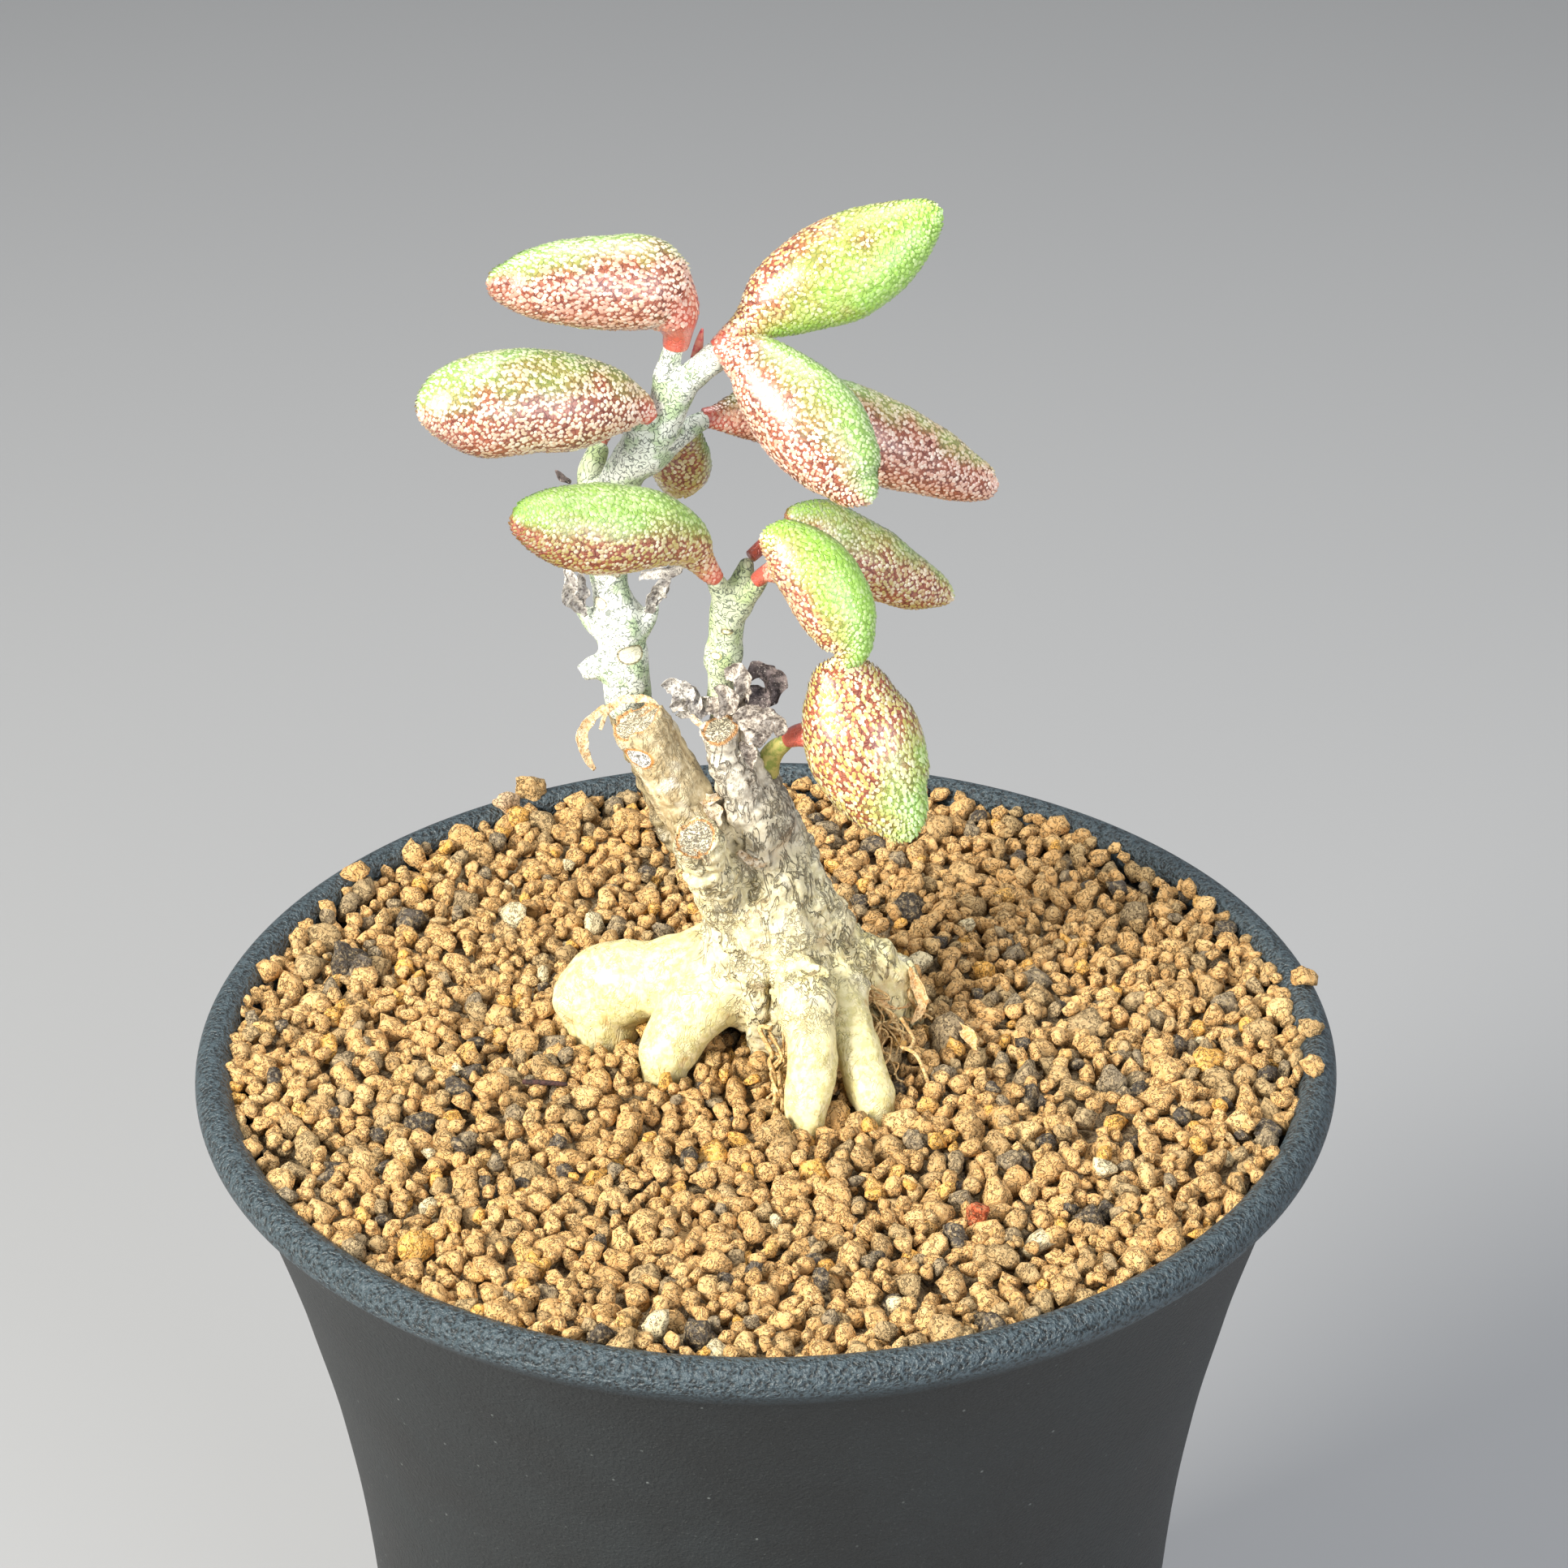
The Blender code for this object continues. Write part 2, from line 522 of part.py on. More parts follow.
def build_soil(collection, cutters):
    """The soil that fills the pot, with a hole for each root."""
    soil = add_object("soil", soil_mesh(), "soil", collection)
    wall = [(radius - GAP, height) for radius, height in inner_wall()]
    wall[0] = (wall[0][0], FLOOR_TOP + GAP)
    bead_inside = (RIM_RADIUS - 2 * BEAD_RADIUS - GAP, POT_HEIGHT - BEAD_RADIUS)
    above = (bead_inside[0], POT_HEIGHT + 5)
    outline = [(0.0, above[1]), above, bead_inside] + wall[::-1] + [(0.0, wall[0][1])]
    mould = turned("pot_inside", outline, None, cutters)
    hide_cutter(mould)
    cut(soil, mould, "INTERSECT")
    for index, root in enumerate(BURIED_ROOTS):
        sunk = [point for point in root if point[2] < SOIL_TOP + 8]
        last = sunk[-1]
        sunk[-1] = (last[0], last[1], last[2] - 2 * GAP, last[3])
        mesh = limb_mesh(sunk, extra=2 * GAP, level=2, smooth=2)
        hole = add_object(f"root_hole_{index + 1}", mesh, None, cutters)
        hide_cutter(hole)
        cut(soil, hole)
    return soil


def build_wood(collection):
    """The swollen base with its roots, the cut stumps and the woody limbs."""
    limbs = [
        TRUNK, LEFT_ROOT, LEFT_LOBE, LOWER_LEFT_ROOT, FRONT_ROOT, RIGHT_ROOT,
        SHOULDER_ROOT, SMALL_ROOT, ARCH_ROOT, BACK_ROOT, LARGE_STUMP, FACING_STUMP,
        BEHIND_STUMP, RIGHT_LIMB, THIRD_STUMP, GREY_LIMB, KNEE, SHOULDER_KNOT,
    ]
    grown("caudex", "caudex", limbs, 0.4, 2400, collection)
    grown("stem_tall", "stem", [TALL_STEM] + TALL_STEM_ARMS, 0.25, 1150, collection)
    grown("stem_low", "stem", [LOW_STEM] + LOW_STEM_ARMS, 0.22, 560, collection)
    grown("side_shoot", "shoot", [SIDE_SHOOT], 0.22, 140, collection)
    grown("growth_tip", "tip", [GROWTH_TIP], 0.15, 90, collection)


def blade_mesh(leaf):
    """A plump leaf: a ball drawn out along its length, widest near its tip."""
    base = Vector(leaf["base"])
    tip = Vector(leaf["tip"])
    along = (tip - base).normalized()
    across = Vector(leaf["face"]).cross(along).normalized()
    out = along.cross(across)
    length = (tip - base).length
    power = math.log(0.5) / math.log(leaf["widest"])
    cage = bmesh.new()
    bmesh.ops.create_uvsphere(
        cage, u_segments=LEAF_SIDES, v_segments=LEAF_RINGS, radius=1.0)
    for vert in cage.verts:
        share = (1.0 + vert.co.z) / 2
        round_at = math.hypot(vert.co.x, vert.co.y)
        swell = math.sin(math.pi * share ** power) ** LEAF_ROUNDNESS if round_at > 1e-6 else 0.0
        side = vert.co.x / round_at * swell * leaf["half_width"] if round_at > 1e-6 else 0.0
        rise = vert.co.y / round_at * swell * leaf["half_depth"] if round_at > 1e-6 else 0.0
        rise += leaf["bow"] * (1 - (2 * share - 1) ** 2)
        vert.co = (base + along * share * length + across * side + out * rise) * MM
    bmesh.ops.recalc_face_normals(cage, faces=cage.faces)
    mesh = bpy.data.meshes.new("blade")
    cage.to_mesh(mesh)
    cage.free()
    return mesh


def build_leaves(collection, cutters):
    """Every leaf with its stalk run into it."""
    for name, leaf in LEAVES.items():
        blade = add_object(name, blade_mesh(leaf), "leaf", collection)
        stalk = add_object(f"{name}_stalk", limb_mesh(leaf["stalk"], level=2, smooth=2),
                           None, cutters)
        hide_cutter(stalk)
        cut(blade, stalk, "UNION")


def build_dried(collection):
    """Wizened leaf remains and the strip of bark peeling off the large stump."""
    for name, path in DRIED.items():
        half_width = sum(point[3] for point in path) / len(path)
        mesh = limb_mesh(path, smooth=2, flat=STRIP_HALF_THICKNESS / half_width)
        add_object(name, mesh, "bark" if name == "bark_strip" else "dried", collection)


def build():
    """The whole potted plant."""
    clear_scene()
    parts = new_collection("potted_tylecodon")
    cutters = new_collection("cutters")
    build_pot(parts, cutters)
    build_soil(parts, cutters)
    build_wood(parts)
    build_leaves(parts, cutters)
    build_dried(parts)


build()
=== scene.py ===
"""Looks of a potted tylecodon: a dwarf succulent with a swollen rooty base in a black pot.

Fields and arrays hold millimetres, and a mesh is made in metres when it is placed.
Every piece stands where its CAD node stands, and a finished object sits at the origin.
"""

import enum
import logging
import math
from dataclasses import dataclass, field
from typing import Callable, Optional, Sequence, Union

import bmesh
import bpy
import numpy as np
from mathutils import Matrix, Vector


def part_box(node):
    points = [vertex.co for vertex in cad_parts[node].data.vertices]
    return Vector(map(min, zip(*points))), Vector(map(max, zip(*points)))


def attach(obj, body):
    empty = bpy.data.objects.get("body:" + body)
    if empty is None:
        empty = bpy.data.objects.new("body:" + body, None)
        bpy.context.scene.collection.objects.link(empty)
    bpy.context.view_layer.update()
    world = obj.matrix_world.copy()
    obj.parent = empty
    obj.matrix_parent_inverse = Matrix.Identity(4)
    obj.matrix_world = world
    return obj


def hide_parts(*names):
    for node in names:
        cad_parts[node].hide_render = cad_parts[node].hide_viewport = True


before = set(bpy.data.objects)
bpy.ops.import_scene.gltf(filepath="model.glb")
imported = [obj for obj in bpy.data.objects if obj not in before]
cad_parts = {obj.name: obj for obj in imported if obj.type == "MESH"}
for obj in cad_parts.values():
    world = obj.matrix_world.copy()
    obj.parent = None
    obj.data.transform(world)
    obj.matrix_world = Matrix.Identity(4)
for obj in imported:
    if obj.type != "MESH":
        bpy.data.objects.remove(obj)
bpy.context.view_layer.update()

MM = 0.001
BODY = "root"
GOLDEN_ANGLE = math.pi * (3 - math.sqrt(5))
Knots = Sequence[Sequence[float]]
log = logging.getLogger("tylecodon")


# Numbers

def unit(vectors: np.ndarray) -> np.ndarray:
    """Vectors brought to length one."""
    return vectors / np.maximum(np.linalg.norm(vectors, axis=-1, keepdims=True), 1e-12)


def ease(values: np.ndarray, low: float, high: float) -> np.ndarray:
    """A smooth step: 0 at low, 1 at high, 3s^2 - 2s^3 between."""
    share = np.clip((values - low) / (high - low), 0, 1)
    return share * share * (3 - 2 * share)


def through(knots: Knots, per: int) -> np.ndarray:
    """A smooth curve through knots of any width.

    Between two knots it is the Catmull-Rom cubic of the four knots around.

    Args:
        knots: rows of numbers, such as x, y, z, radius.
        per: samples between two knots.

    Returns:
        The samples as rows, both end knots included.
    """
    rows = np.asarray(knots, float)
    rows = np.vstack([2 * rows[0] - rows[1], rows, 2 * rows[-1] - rows[-2]])
    t = (np.arange(per) / per)[None, :, None]
    a, b, c, d = (rows[i:len(rows) - 3 + i, None, :] for i in range(4))
    curve = 0.5 * (2 * b + (c - a) * t + (2 * a - 5 * b + 4 * c - d) * t ** 2
                   + (3 * b - a - 3 * c + d) * t ** 3)
    return np.vstack([curve.reshape(-1, rows.shape[1]), rows[-2]])


def hashed(cells: np.ndarray, seed: int) -> np.ndarray:
    """One repeatable number from -1 to 1 for each whole-numbered lattice point."""
    mixed = cells @ np.array([374761393, 668265263, 1442695041]) + seed * 1274126177
    mixed = (mixed ^ (mixed >> 13)) * 1274126177 & 0x7FFFFFFF
    mixed = (mixed ^ (mixed >> 15)) * 2246822519 & 0x7FFFFFFF
    return (mixed >> 7 & 0xFFFF) / 32767.5 - 1


def noise(points: np.ndarray, size: float, seed: int = 0, octaves: int = 1) -> np.ndarray:
    """Smooth value noise from -1 to 1: lattice numbers blended along each axis.

    Args:
        points: places in mm, the last axis holding x, y, z.
        size: the lattice pitch in mm, halved for each further octave.
        seed: a different pattern for each seed.
        octaves: how many patterns are added, each half as strong.

    Returns:
        One value for each point.
    """
    total, strength = np.zeros(points.shape[:-1]), 1.0
    for octave in range(octaves):
        place = points * 2 ** octave / size + 17.3 * seed
        cell = np.floor(place).astype(np.int64)
        part = place - cell
        part = part * part * (3 - 2 * part)
        value = np.zeros(points.shape[:-1])
        for corner in np.ndindex(2, 2, 2):
            near = np.where(np.array(corner) == 1, part, 1 - part).prod(axis=-1)
            value = value + near * hashed(cell + np.array(corner), seed + octave)
        total += strength * value
        strength /= 2
    return total


# Meshes

@dataclass
class Skin:
    """A surface: its points, faces of three or four corners, and values on its points."""

    points: np.ndarray
    faces: list[np.ndarray]
    values: dict[str, np.ndarray] = field(default_factory=dict)

    def outward(self) -> "Skin":
        """The same closed surface with its faces turned to point out."""
        volume = 0.0
        for group in self.faces:
            a = self.points[group[:, 0]]
            for i in range(1, group.shape[1] - 1):
                b, c = self.points[group[:, i]], self.points[group[:, i + 1]]
                volume += float(np.einsum("ij,ij->", a, np.cross(b, c)))
        if volume < 0:
            self.faces = [group[:, ::-1] for group in self.faces]
        return self

    @staticmethod
    def together(skins: Sequence["Skin"]) -> "Skin":
        """Several surfaces as one, still separate shells."""
        starts = np.cumsum([0] + [len(skin.points) for skin in skins])
        faces = [group + start for skin, start in zip(skins, starts) for group in skin.faces]
        names = skins[0].values.keys()
        values = {name: np.concatenate([skin.values[name] for skin in skins]) for name in names}
        return Skin(np.vstack([skin.points for skin in skins]), faces, values)

    def place(self, name: str, finish: bpy.types.Material, slot: str,
              nodes: Sequence[str] = (), smooth: bool = True) -> bpy.types.Object:
        """Put the surface in the scene as one dressed piece.

        Args:
            name: the piece's name.
            finish: its material.
            slot: not used.
            nodes: CAD nodes that the piece stands for.
            smooth: whether its faces are shaded as one soft surface.

        Returns:
            The new object, riding on the body.
        """
        mesh = bpy.data.meshes.new(name)
        corners = np.concatenate([group.ravel() for group in self.faces])
        sizes = np.concatenate([np.full(len(group), group.shape[1]) for group in self.faces])
        mesh.vertices.add(len(self.points))
        mesh.vertices.foreach_set("co", (self.points * MM).astype(np.float32).ravel())
        mesh.loops.add(len(corners))
        mesh.loops.foreach_set("vertex_index", corners.astype(np.int32))
        mesh.polygons.add(len(sizes))
        starts = np.concatenate([[0], np.cumsum(sizes)[:-1]])
        mesh.polygons.foreach_set("loop_start", starts.astype(np.int32))
        for key, numbers in self.values.items():
            layer = mesh.attributes.new(key, "FLOAT", "POINT")
            layer.data.foreach_set("value", numbers.astype(np.float32))
        mesh.update(calc_edges=True)
        mesh.validate()
        if smooth:
            mesh.shade_smooth()
        mesh.materials.append(finish)
        piece = bpy.data.objects.new(name, mesh)
        bpy.context.scene.collection.objects.link(piece)
        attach(piece, BODY)
        if nodes:
            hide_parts(*nodes)
        log.info("%s: %d faces", name, len(sizes))
        return piece


def closed_grid(rings: np.ndarray, values: Optional[dict[str, np.ndarray]] = None) -> Skin:
    """A tube of rings, closed at both ends by a fan to the end ring's middle.

    Args:
        rings: points as (ring, place round it, xyz).
        values: numbers for each grid point, as (ring, place round it).

    Returns:
        The closed surface, facing out.
    """
    count, sides = rings.shape[:2]
    index = np.arange(count * sides).reshape(count, sides)
    after = np.roll(index, -1, axis=1)
    quads = np.stack([index[:-1], after[:-1], after[1:], index[1:]], axis=-1).reshape(-1, 4)
    first, last = count * sides, count * sides + 1
    start = np.stack([np.full(sides, first), after[0], index[0]], axis=-1)
    end = np.stack([np.full(sides, last), index[-1], after[-1]], axis=-1)
    points = np.vstack([rings.reshape(-1, 3), rings[0].mean(0), rings[-1].mean(0)])
    carried = {key: np.concatenate([grid.ravel(), [grid[0].mean(), grid[-1].mean()]])
               for key, grid in (values or {}).items()}
    return Skin(points, [quads, np.vstack([start, end])], carried).outward()


def rings_along(line: np.ndarray, face: Sequence[float], half_width: np.ndarray,
                half_depth: np.ndarray, sides: int) -> tuple[np.ndarray, np.ndarray]:
    """Oval rings square to a centre line, their flat side turned to face one way.

    A ring's point is the line's point + cos(a) * half width across + sin(a) * half depth out.

    Returns:
        The rings as (ring, side, xyz), and their outward directions.
    """
    along = unit(np.gradient(line, axis=0))
    facing = np.asarray(face, float)
    out = unit(facing - (along @ facing)[:, None] * along)
    across = np.cross(out, along)
    angle = np.linspace(0, 2 * math.pi, sides, endpoint=False)
    cos, sin = np.cos(angle)[None, :, None], np.sin(angle)[None, :, None]
    wide, deep = half_width[:, None, None], half_depth[:, None, None]
    rings = line[:, None] + cos * wide * across[:, None] + sin * deep * out[:, None]
    normals = unit(cos * across[:, None] * deep + sin * out[:, None] * wide)
    return rings, normals


def copies(shape: np.ndarray, faces: Sequence[np.ndarray], axes: np.ndarray,
           places: np.ndarray, values: dict[str, np.ndarray]) -> Skin:
    """One small shape set down many times: place + shape turned and sized by its axes.

    Args:
        shape: points of the shape, as (point, xyz), or one set for each copy.
        faces: the shape's faces.
        axes: three sized axis vectors for each copy, as (copy, axis, xyz).
        places: where each copy stands.
        values: one number for each copy.

    Returns:
        All the copies as one surface.
    """
    each = np.broadcast_to(shape, (len(places),) + shape.shape[-2:])
    points = places[:, None] + np.einsum("ckj,cji->cki", each, axes)
    steps = (np.arange(len(places)) * each.shape[1])[:, None, None]
    groups = [(group[None] + steps).reshape(-1, group.shape[1]) for group in faces]
    carried = {key: np.repeat(numbers, each.shape[1]) for key, numbers in values.items()}
    return Skin(points.reshape(-1, 3), groups, carried)


def ball(level: int) -> tuple[np.ndarray, list[np.ndarray]]:
    """The corners and triangles of an even ball of radius one."""
    cage = bmesh.new()
    bmesh.ops.create_icosphere(cage, subdivisions=level, radius=1.0)
    points = np.array([vert.co[:] for vert in cage.verts])
    faces = np.array([[vert.index for vert in face.verts] for face in cage.faces])
    cage.free()
    return points, [faces]


# Growths: limbs fused into one skin

class Bark(enum.Enum):
    """The kinds of surface that a limb can have."""

    TRUNK = "trunk"
    ROOT = "root"
    HUSKY = "husky"
    TAN = "tan"
    OLIVE = "olive"
    GREY = "grey"
    PALE = "pale"


@dataclass(frozen=True)
class Limb:
    """A tapering limb through (x, y, z, radius) points, its end round or cut flat."""

    points: Knots
    bark: Bark = Bark.GREY
    cut: bool = False
    fillet: float = 1.0


@dataclass
class Growth:
    """Limbs fused the way wood grows, meshed from a distance field.

    Each limb is a chain of round-ended cones, and its distance is that of the nearest.
    Two limbs join by a smooth minimum: min(a, b) - h^2 k / 4, h = max(k - |a - b|, 0) / k.
    """

    limbs: Sequence[Limb]
    step: float
    per: int = 4
    recess: float = 0.25
    rim: float = 0.3

    def __post_init__(self) -> None:
        """Lay out the grid and fill it limb by limb."""
        rows = np.vstack([through(limb.points, self.per) for limb in self.limbs])
        reach = rows[:, 3:].max() + 1.5
        self.origin = rows[:, :3].min(0) - reach
        shape = np.ceil((rows[:, :3].max(0) + reach - self.origin) / self.step).astype(int)
        self.field = np.full(shape, 9.0, np.float32)
        self.nearest = np.full(shape, 9.0, np.float32)
        self.along = np.zeros(shape, np.float32)
        self.face = np.zeros(shape, np.float32)
        self.kinds = {limb.bark: np.full(shape, 9.0, np.float32) for limb in self.limbs}
        for limb in self.limbs:
            self.add(limb)

    def add(self, limb: Limb) -> None:
        """Fuse one limb into the field, in the box that it reaches."""
        rows = through(limb.points, self.per)
        reach = rows[:, 3].max() + limb.fillet + 0.8
        low = np.maximum(np.floor((rows[:, :3].min(0) - reach - self.origin) / self.step), 0)
        high = np.ceil((rows[:, :3].max(0) + reach - self.origin) / self.step)
        box = tuple(slice(int(a), int(b) + 1) for a, b in zip(low, high))
        axes = [self.origin[i] + self.step * np.arange(*box[i].indices(self.field.shape[i]))
                for i in range(3)]
        place = np.stack(np.meshgrid(*axes, indexing="ij"), axis=-1)
        if limb.cut:
            ahead = unit(rows[-1, :3] - rows[-2, :3])
            rows = np.vstack([rows, [*(rows[-1, :3] + ahead * 2 * rows[-1, 3]), rows[-1, 3]]])
        best, arc = np.full(place.shape[:3], 9.0), np.zeros(place.shape[:3])
        length = 0.0
        for here, there in zip(rows, rows[1:]):
            step = there[:3] - here[:3]
            size = float(np.linalg.norm(step))
            share = np.clip((place - here[:3]) @ step / size ** 2, 0, 1)
            gap = np.linalg.norm(place - here[:3] - share[..., None] * step, axis=-1)
            gap -= here[3] + (there[3] - here[3]) * share
            arc = np.where(gap < best, length + share * size, arc)
            best = np.minimum(best, gap)
            length += size
        if limb.cut:
            best = self.trim(best, place, rows, box)
        self.kinds[limb.bark][box] = np.minimum(self.kinds[limb.bark][box], best)
        self.along[box] = np.where(best < self.nearest[box], arc, self.along[box])
        self.nearest[box] = np.minimum(self.nearest[box], best)
        old = self.field[box]
        blend = np.maximum(limb.fillet - np.abs(old - best), 0) / limb.fillet
        self.field[box] = np.minimum(old, best) - blend ** 2 * limb.fillet / 4

    def trim(self, gap: np.ndarray, place: np.ndarray, rows: np.ndarray,
             box: tuple[slice, ...]) -> np.ndarray:
        """Cut a limb flat at its end, and sink the wood a little inside its bark rim."""
        end, ahead = rows[-2, :3], unit(rows[-1, :3] - rows[-2, :3])
        above = (place - end) @ ahead + 0.12 * noise(place, 0.9, 5)
        aside = np.linalg.norm(place - end - ((place - end) @ ahead)[..., None] * ahead, axis=-1)
        inside = aside - rows[-2, 3] + self.rim
        self.face[box] = np.maximum(
            self.face[box], (1 - ease(inside, -0.1, 0.1)) * ease(above, -0.8, -0.4))
        gap = np.maximum(gap, above)
        return np.maximum(gap, -np.maximum(inside, -(above + self.recess)))

    def sample(self, grid: np.ndarray, points: np.ndarray) -> np.ndarray:
        """Grid values at places in mm, blended between the eight cells around."""
        place = np.clip((points - self.origin) / self.step, 0, np.array(grid.shape) - 1.001)
        cell = place.astype(int)
        part = place - cell
        total = np.zeros(len(points))
        for corner in np.ndindex(2, 2, 2):
            near = np.where(np.array(corner) == 1, part, 1 - part).prod(axis=-1)
            total += near * grid[tuple((cell + np.array(corner)).T)]
        return total

    def relieve(self, relief: Callable[[np.ndarray, dict], np.ndarray], band: float) -> None:
        """Add a relief to the field near the skin: + is outwards, in mm."""
        cells = np.argwhere(np.abs(self.field) < band)
        where = tuple(cells.T)
        weights = self.weights({kind: grid[where] for kind, grid in self.kinds.items()})
        weights["along"], weights["face"] = self.along[where], self.face[where]
        self.field[where] -= relief(self.origin + self.step * cells, weights)

    @staticmethod
    def weights(gaps: dict[Bark, np.ndarray]) -> dict[str, np.ndarray]:
        """How much of each kind of bark a place has, from its distances to them."""
        nearest = np.minimum.reduce(list(gaps.values()))
        raw = {kind.value: np.exp((nearest - gap) / 0.35) for kind, gap in gaps.items()}
        total = sum(raw.values())
        return {kind: value / total for kind, value in raw.items()}

    def skin(self) -> Skin:
        """The zero level as quads, with its bark weights.

        One point for each grid cell that the level crosses, at the mean of its edge
        crossings, and one quad for each grid edge that it crosses.
        """
        inside = self.field < 0
        corners = list(np.ndindex(2, 2, 2))
        size = np.array(inside.shape) - 1
        count = sum(inside[tuple(slice(c, c + n) for c, n in zip(corner, size))].astype(np.int8)
                    for corner in corners)
        cells = np.argwhere((count > 0) & (count < 8))
        number = np.full(count.shape, -1)
        number[tuple(cells.T)] = np.arange(len(cells))
        total, hits, quads = np.zeros((len(cells), 3)), np.zeros(len(cells)), []
        for axis in range(3):
            ahead = np.eye(3, dtype=int)[axis]
            for corner in (c for c in corners if c[axis] == 0):
                start = cells + np.array(corner)
                a, b = self.field[tuple(start.T)], self.field[tuple((start + ahead).T)]
                crossed = (a < 0) != (b < 0)
                share = np.where(crossed, a / np.where(crossed, a - b, 1), 0)
                total += crossed[:, None] * (np.array(corner) + share[:, None] * ahead)
                hits += crossed
            low = np.take(inside, range(inside.shape[axis] - 1), axis)
            edges = np.argwhere(low != np.take(inside, range(1, inside.shape[axis]), axis))
            u, v = np.eye(3, dtype=int)[(axis + 1) % 3], np.eye(3, dtype=int)[(axis + 2) % 3]
            ring = np.stack([number[tuple((edges - back).T)]
                             for back in (0 * u, u, u + v, v)], axis=-1)
            leaving = low[tuple(edges.T)]
            quads.append(np.where(leaving[:, None], ring, ring[:, ::-1]))
        points = self.origin + self.step * (cells + total / hits[:, None])
        values = self.weights({kind: self.sample(grid, points)
                               for kind, grid in self.kinds.items()})
        values["along"] = self.sample(self.along, points)
        values["face"] = self.sample(self.face, points)
        # fold: how deep a point lies in the fillet where limbs fuse; the wood finish paints shade there.
        fillet = self.sample(self.nearest, points) - self.sample(self.field, points)
        values["fold"] = np.clip(fillet / 0.25, 0, 1)
        return Skin(points, [np.vstack(quads)], values)


# Finishes

class Val:
    """A value in a material: arithmetic on it adds Math nodes."""

    def __init__(self, ink: "Ink", socket: bpy.types.NodeSocket) -> None:
        """Wrap one output socket of a material's tree."""
        self.ink, self.socket = ink, socket

    def math(self, operation: str, *values: "Number") -> "Val":
        """One Math node on the given values."""
        return self.ink.node("Math", {"operation": operation}, list(values))

    def __add__(self, other: "Number") -> "Val":
        """Sum."""
        return self.math("ADD", self, other)

    def __sub__(self, other: "Number") -> "Val":
        """Difference."""
        return self.math("SUBTRACT", self, other)

    def __rsub__(self, other: "Number") -> "Val":
        """Difference from a number."""
        return self.math("SUBTRACT", other, self)

    def __mul__(self, other: "Number") -> "Val":
        """Product."""
        return self.math("MULTIPLY", self, other)

    def __abs__(self) -> "Val":
        """Size without sign."""
        return self.math("ABSOLUTE", self)

    __radd__, __rmul__ = __add__, __mul__

    def ease(self, low: float, high: float) -> "Val":
        """A smooth step from 0 at low to 1 at high, or falling where low is above high."""
        if low > high:
            return 1 - self.ease(high, low)
        return self.ink.node("MapRange", {"interpolation_type": "SMOOTHSTEP"},
                             {"Value": self, "From Min": low, "From Max": high})


Number = Union[float, Val]
Colour = Union[str, Val]


def rgb(code: str) -> tuple[float, float, float, float]:
    """A colour written as six hex digits, as linear light with full alpha."""
    parts = [int(code[i:i + 2], 16) / 255 for i in (0, 2, 4)]
    light = [c / 12.92 if c <= 0.04045 else ((c + 0.055) / 1.055) ** 2.4 for c in parts]
    return (*light, 1.0)


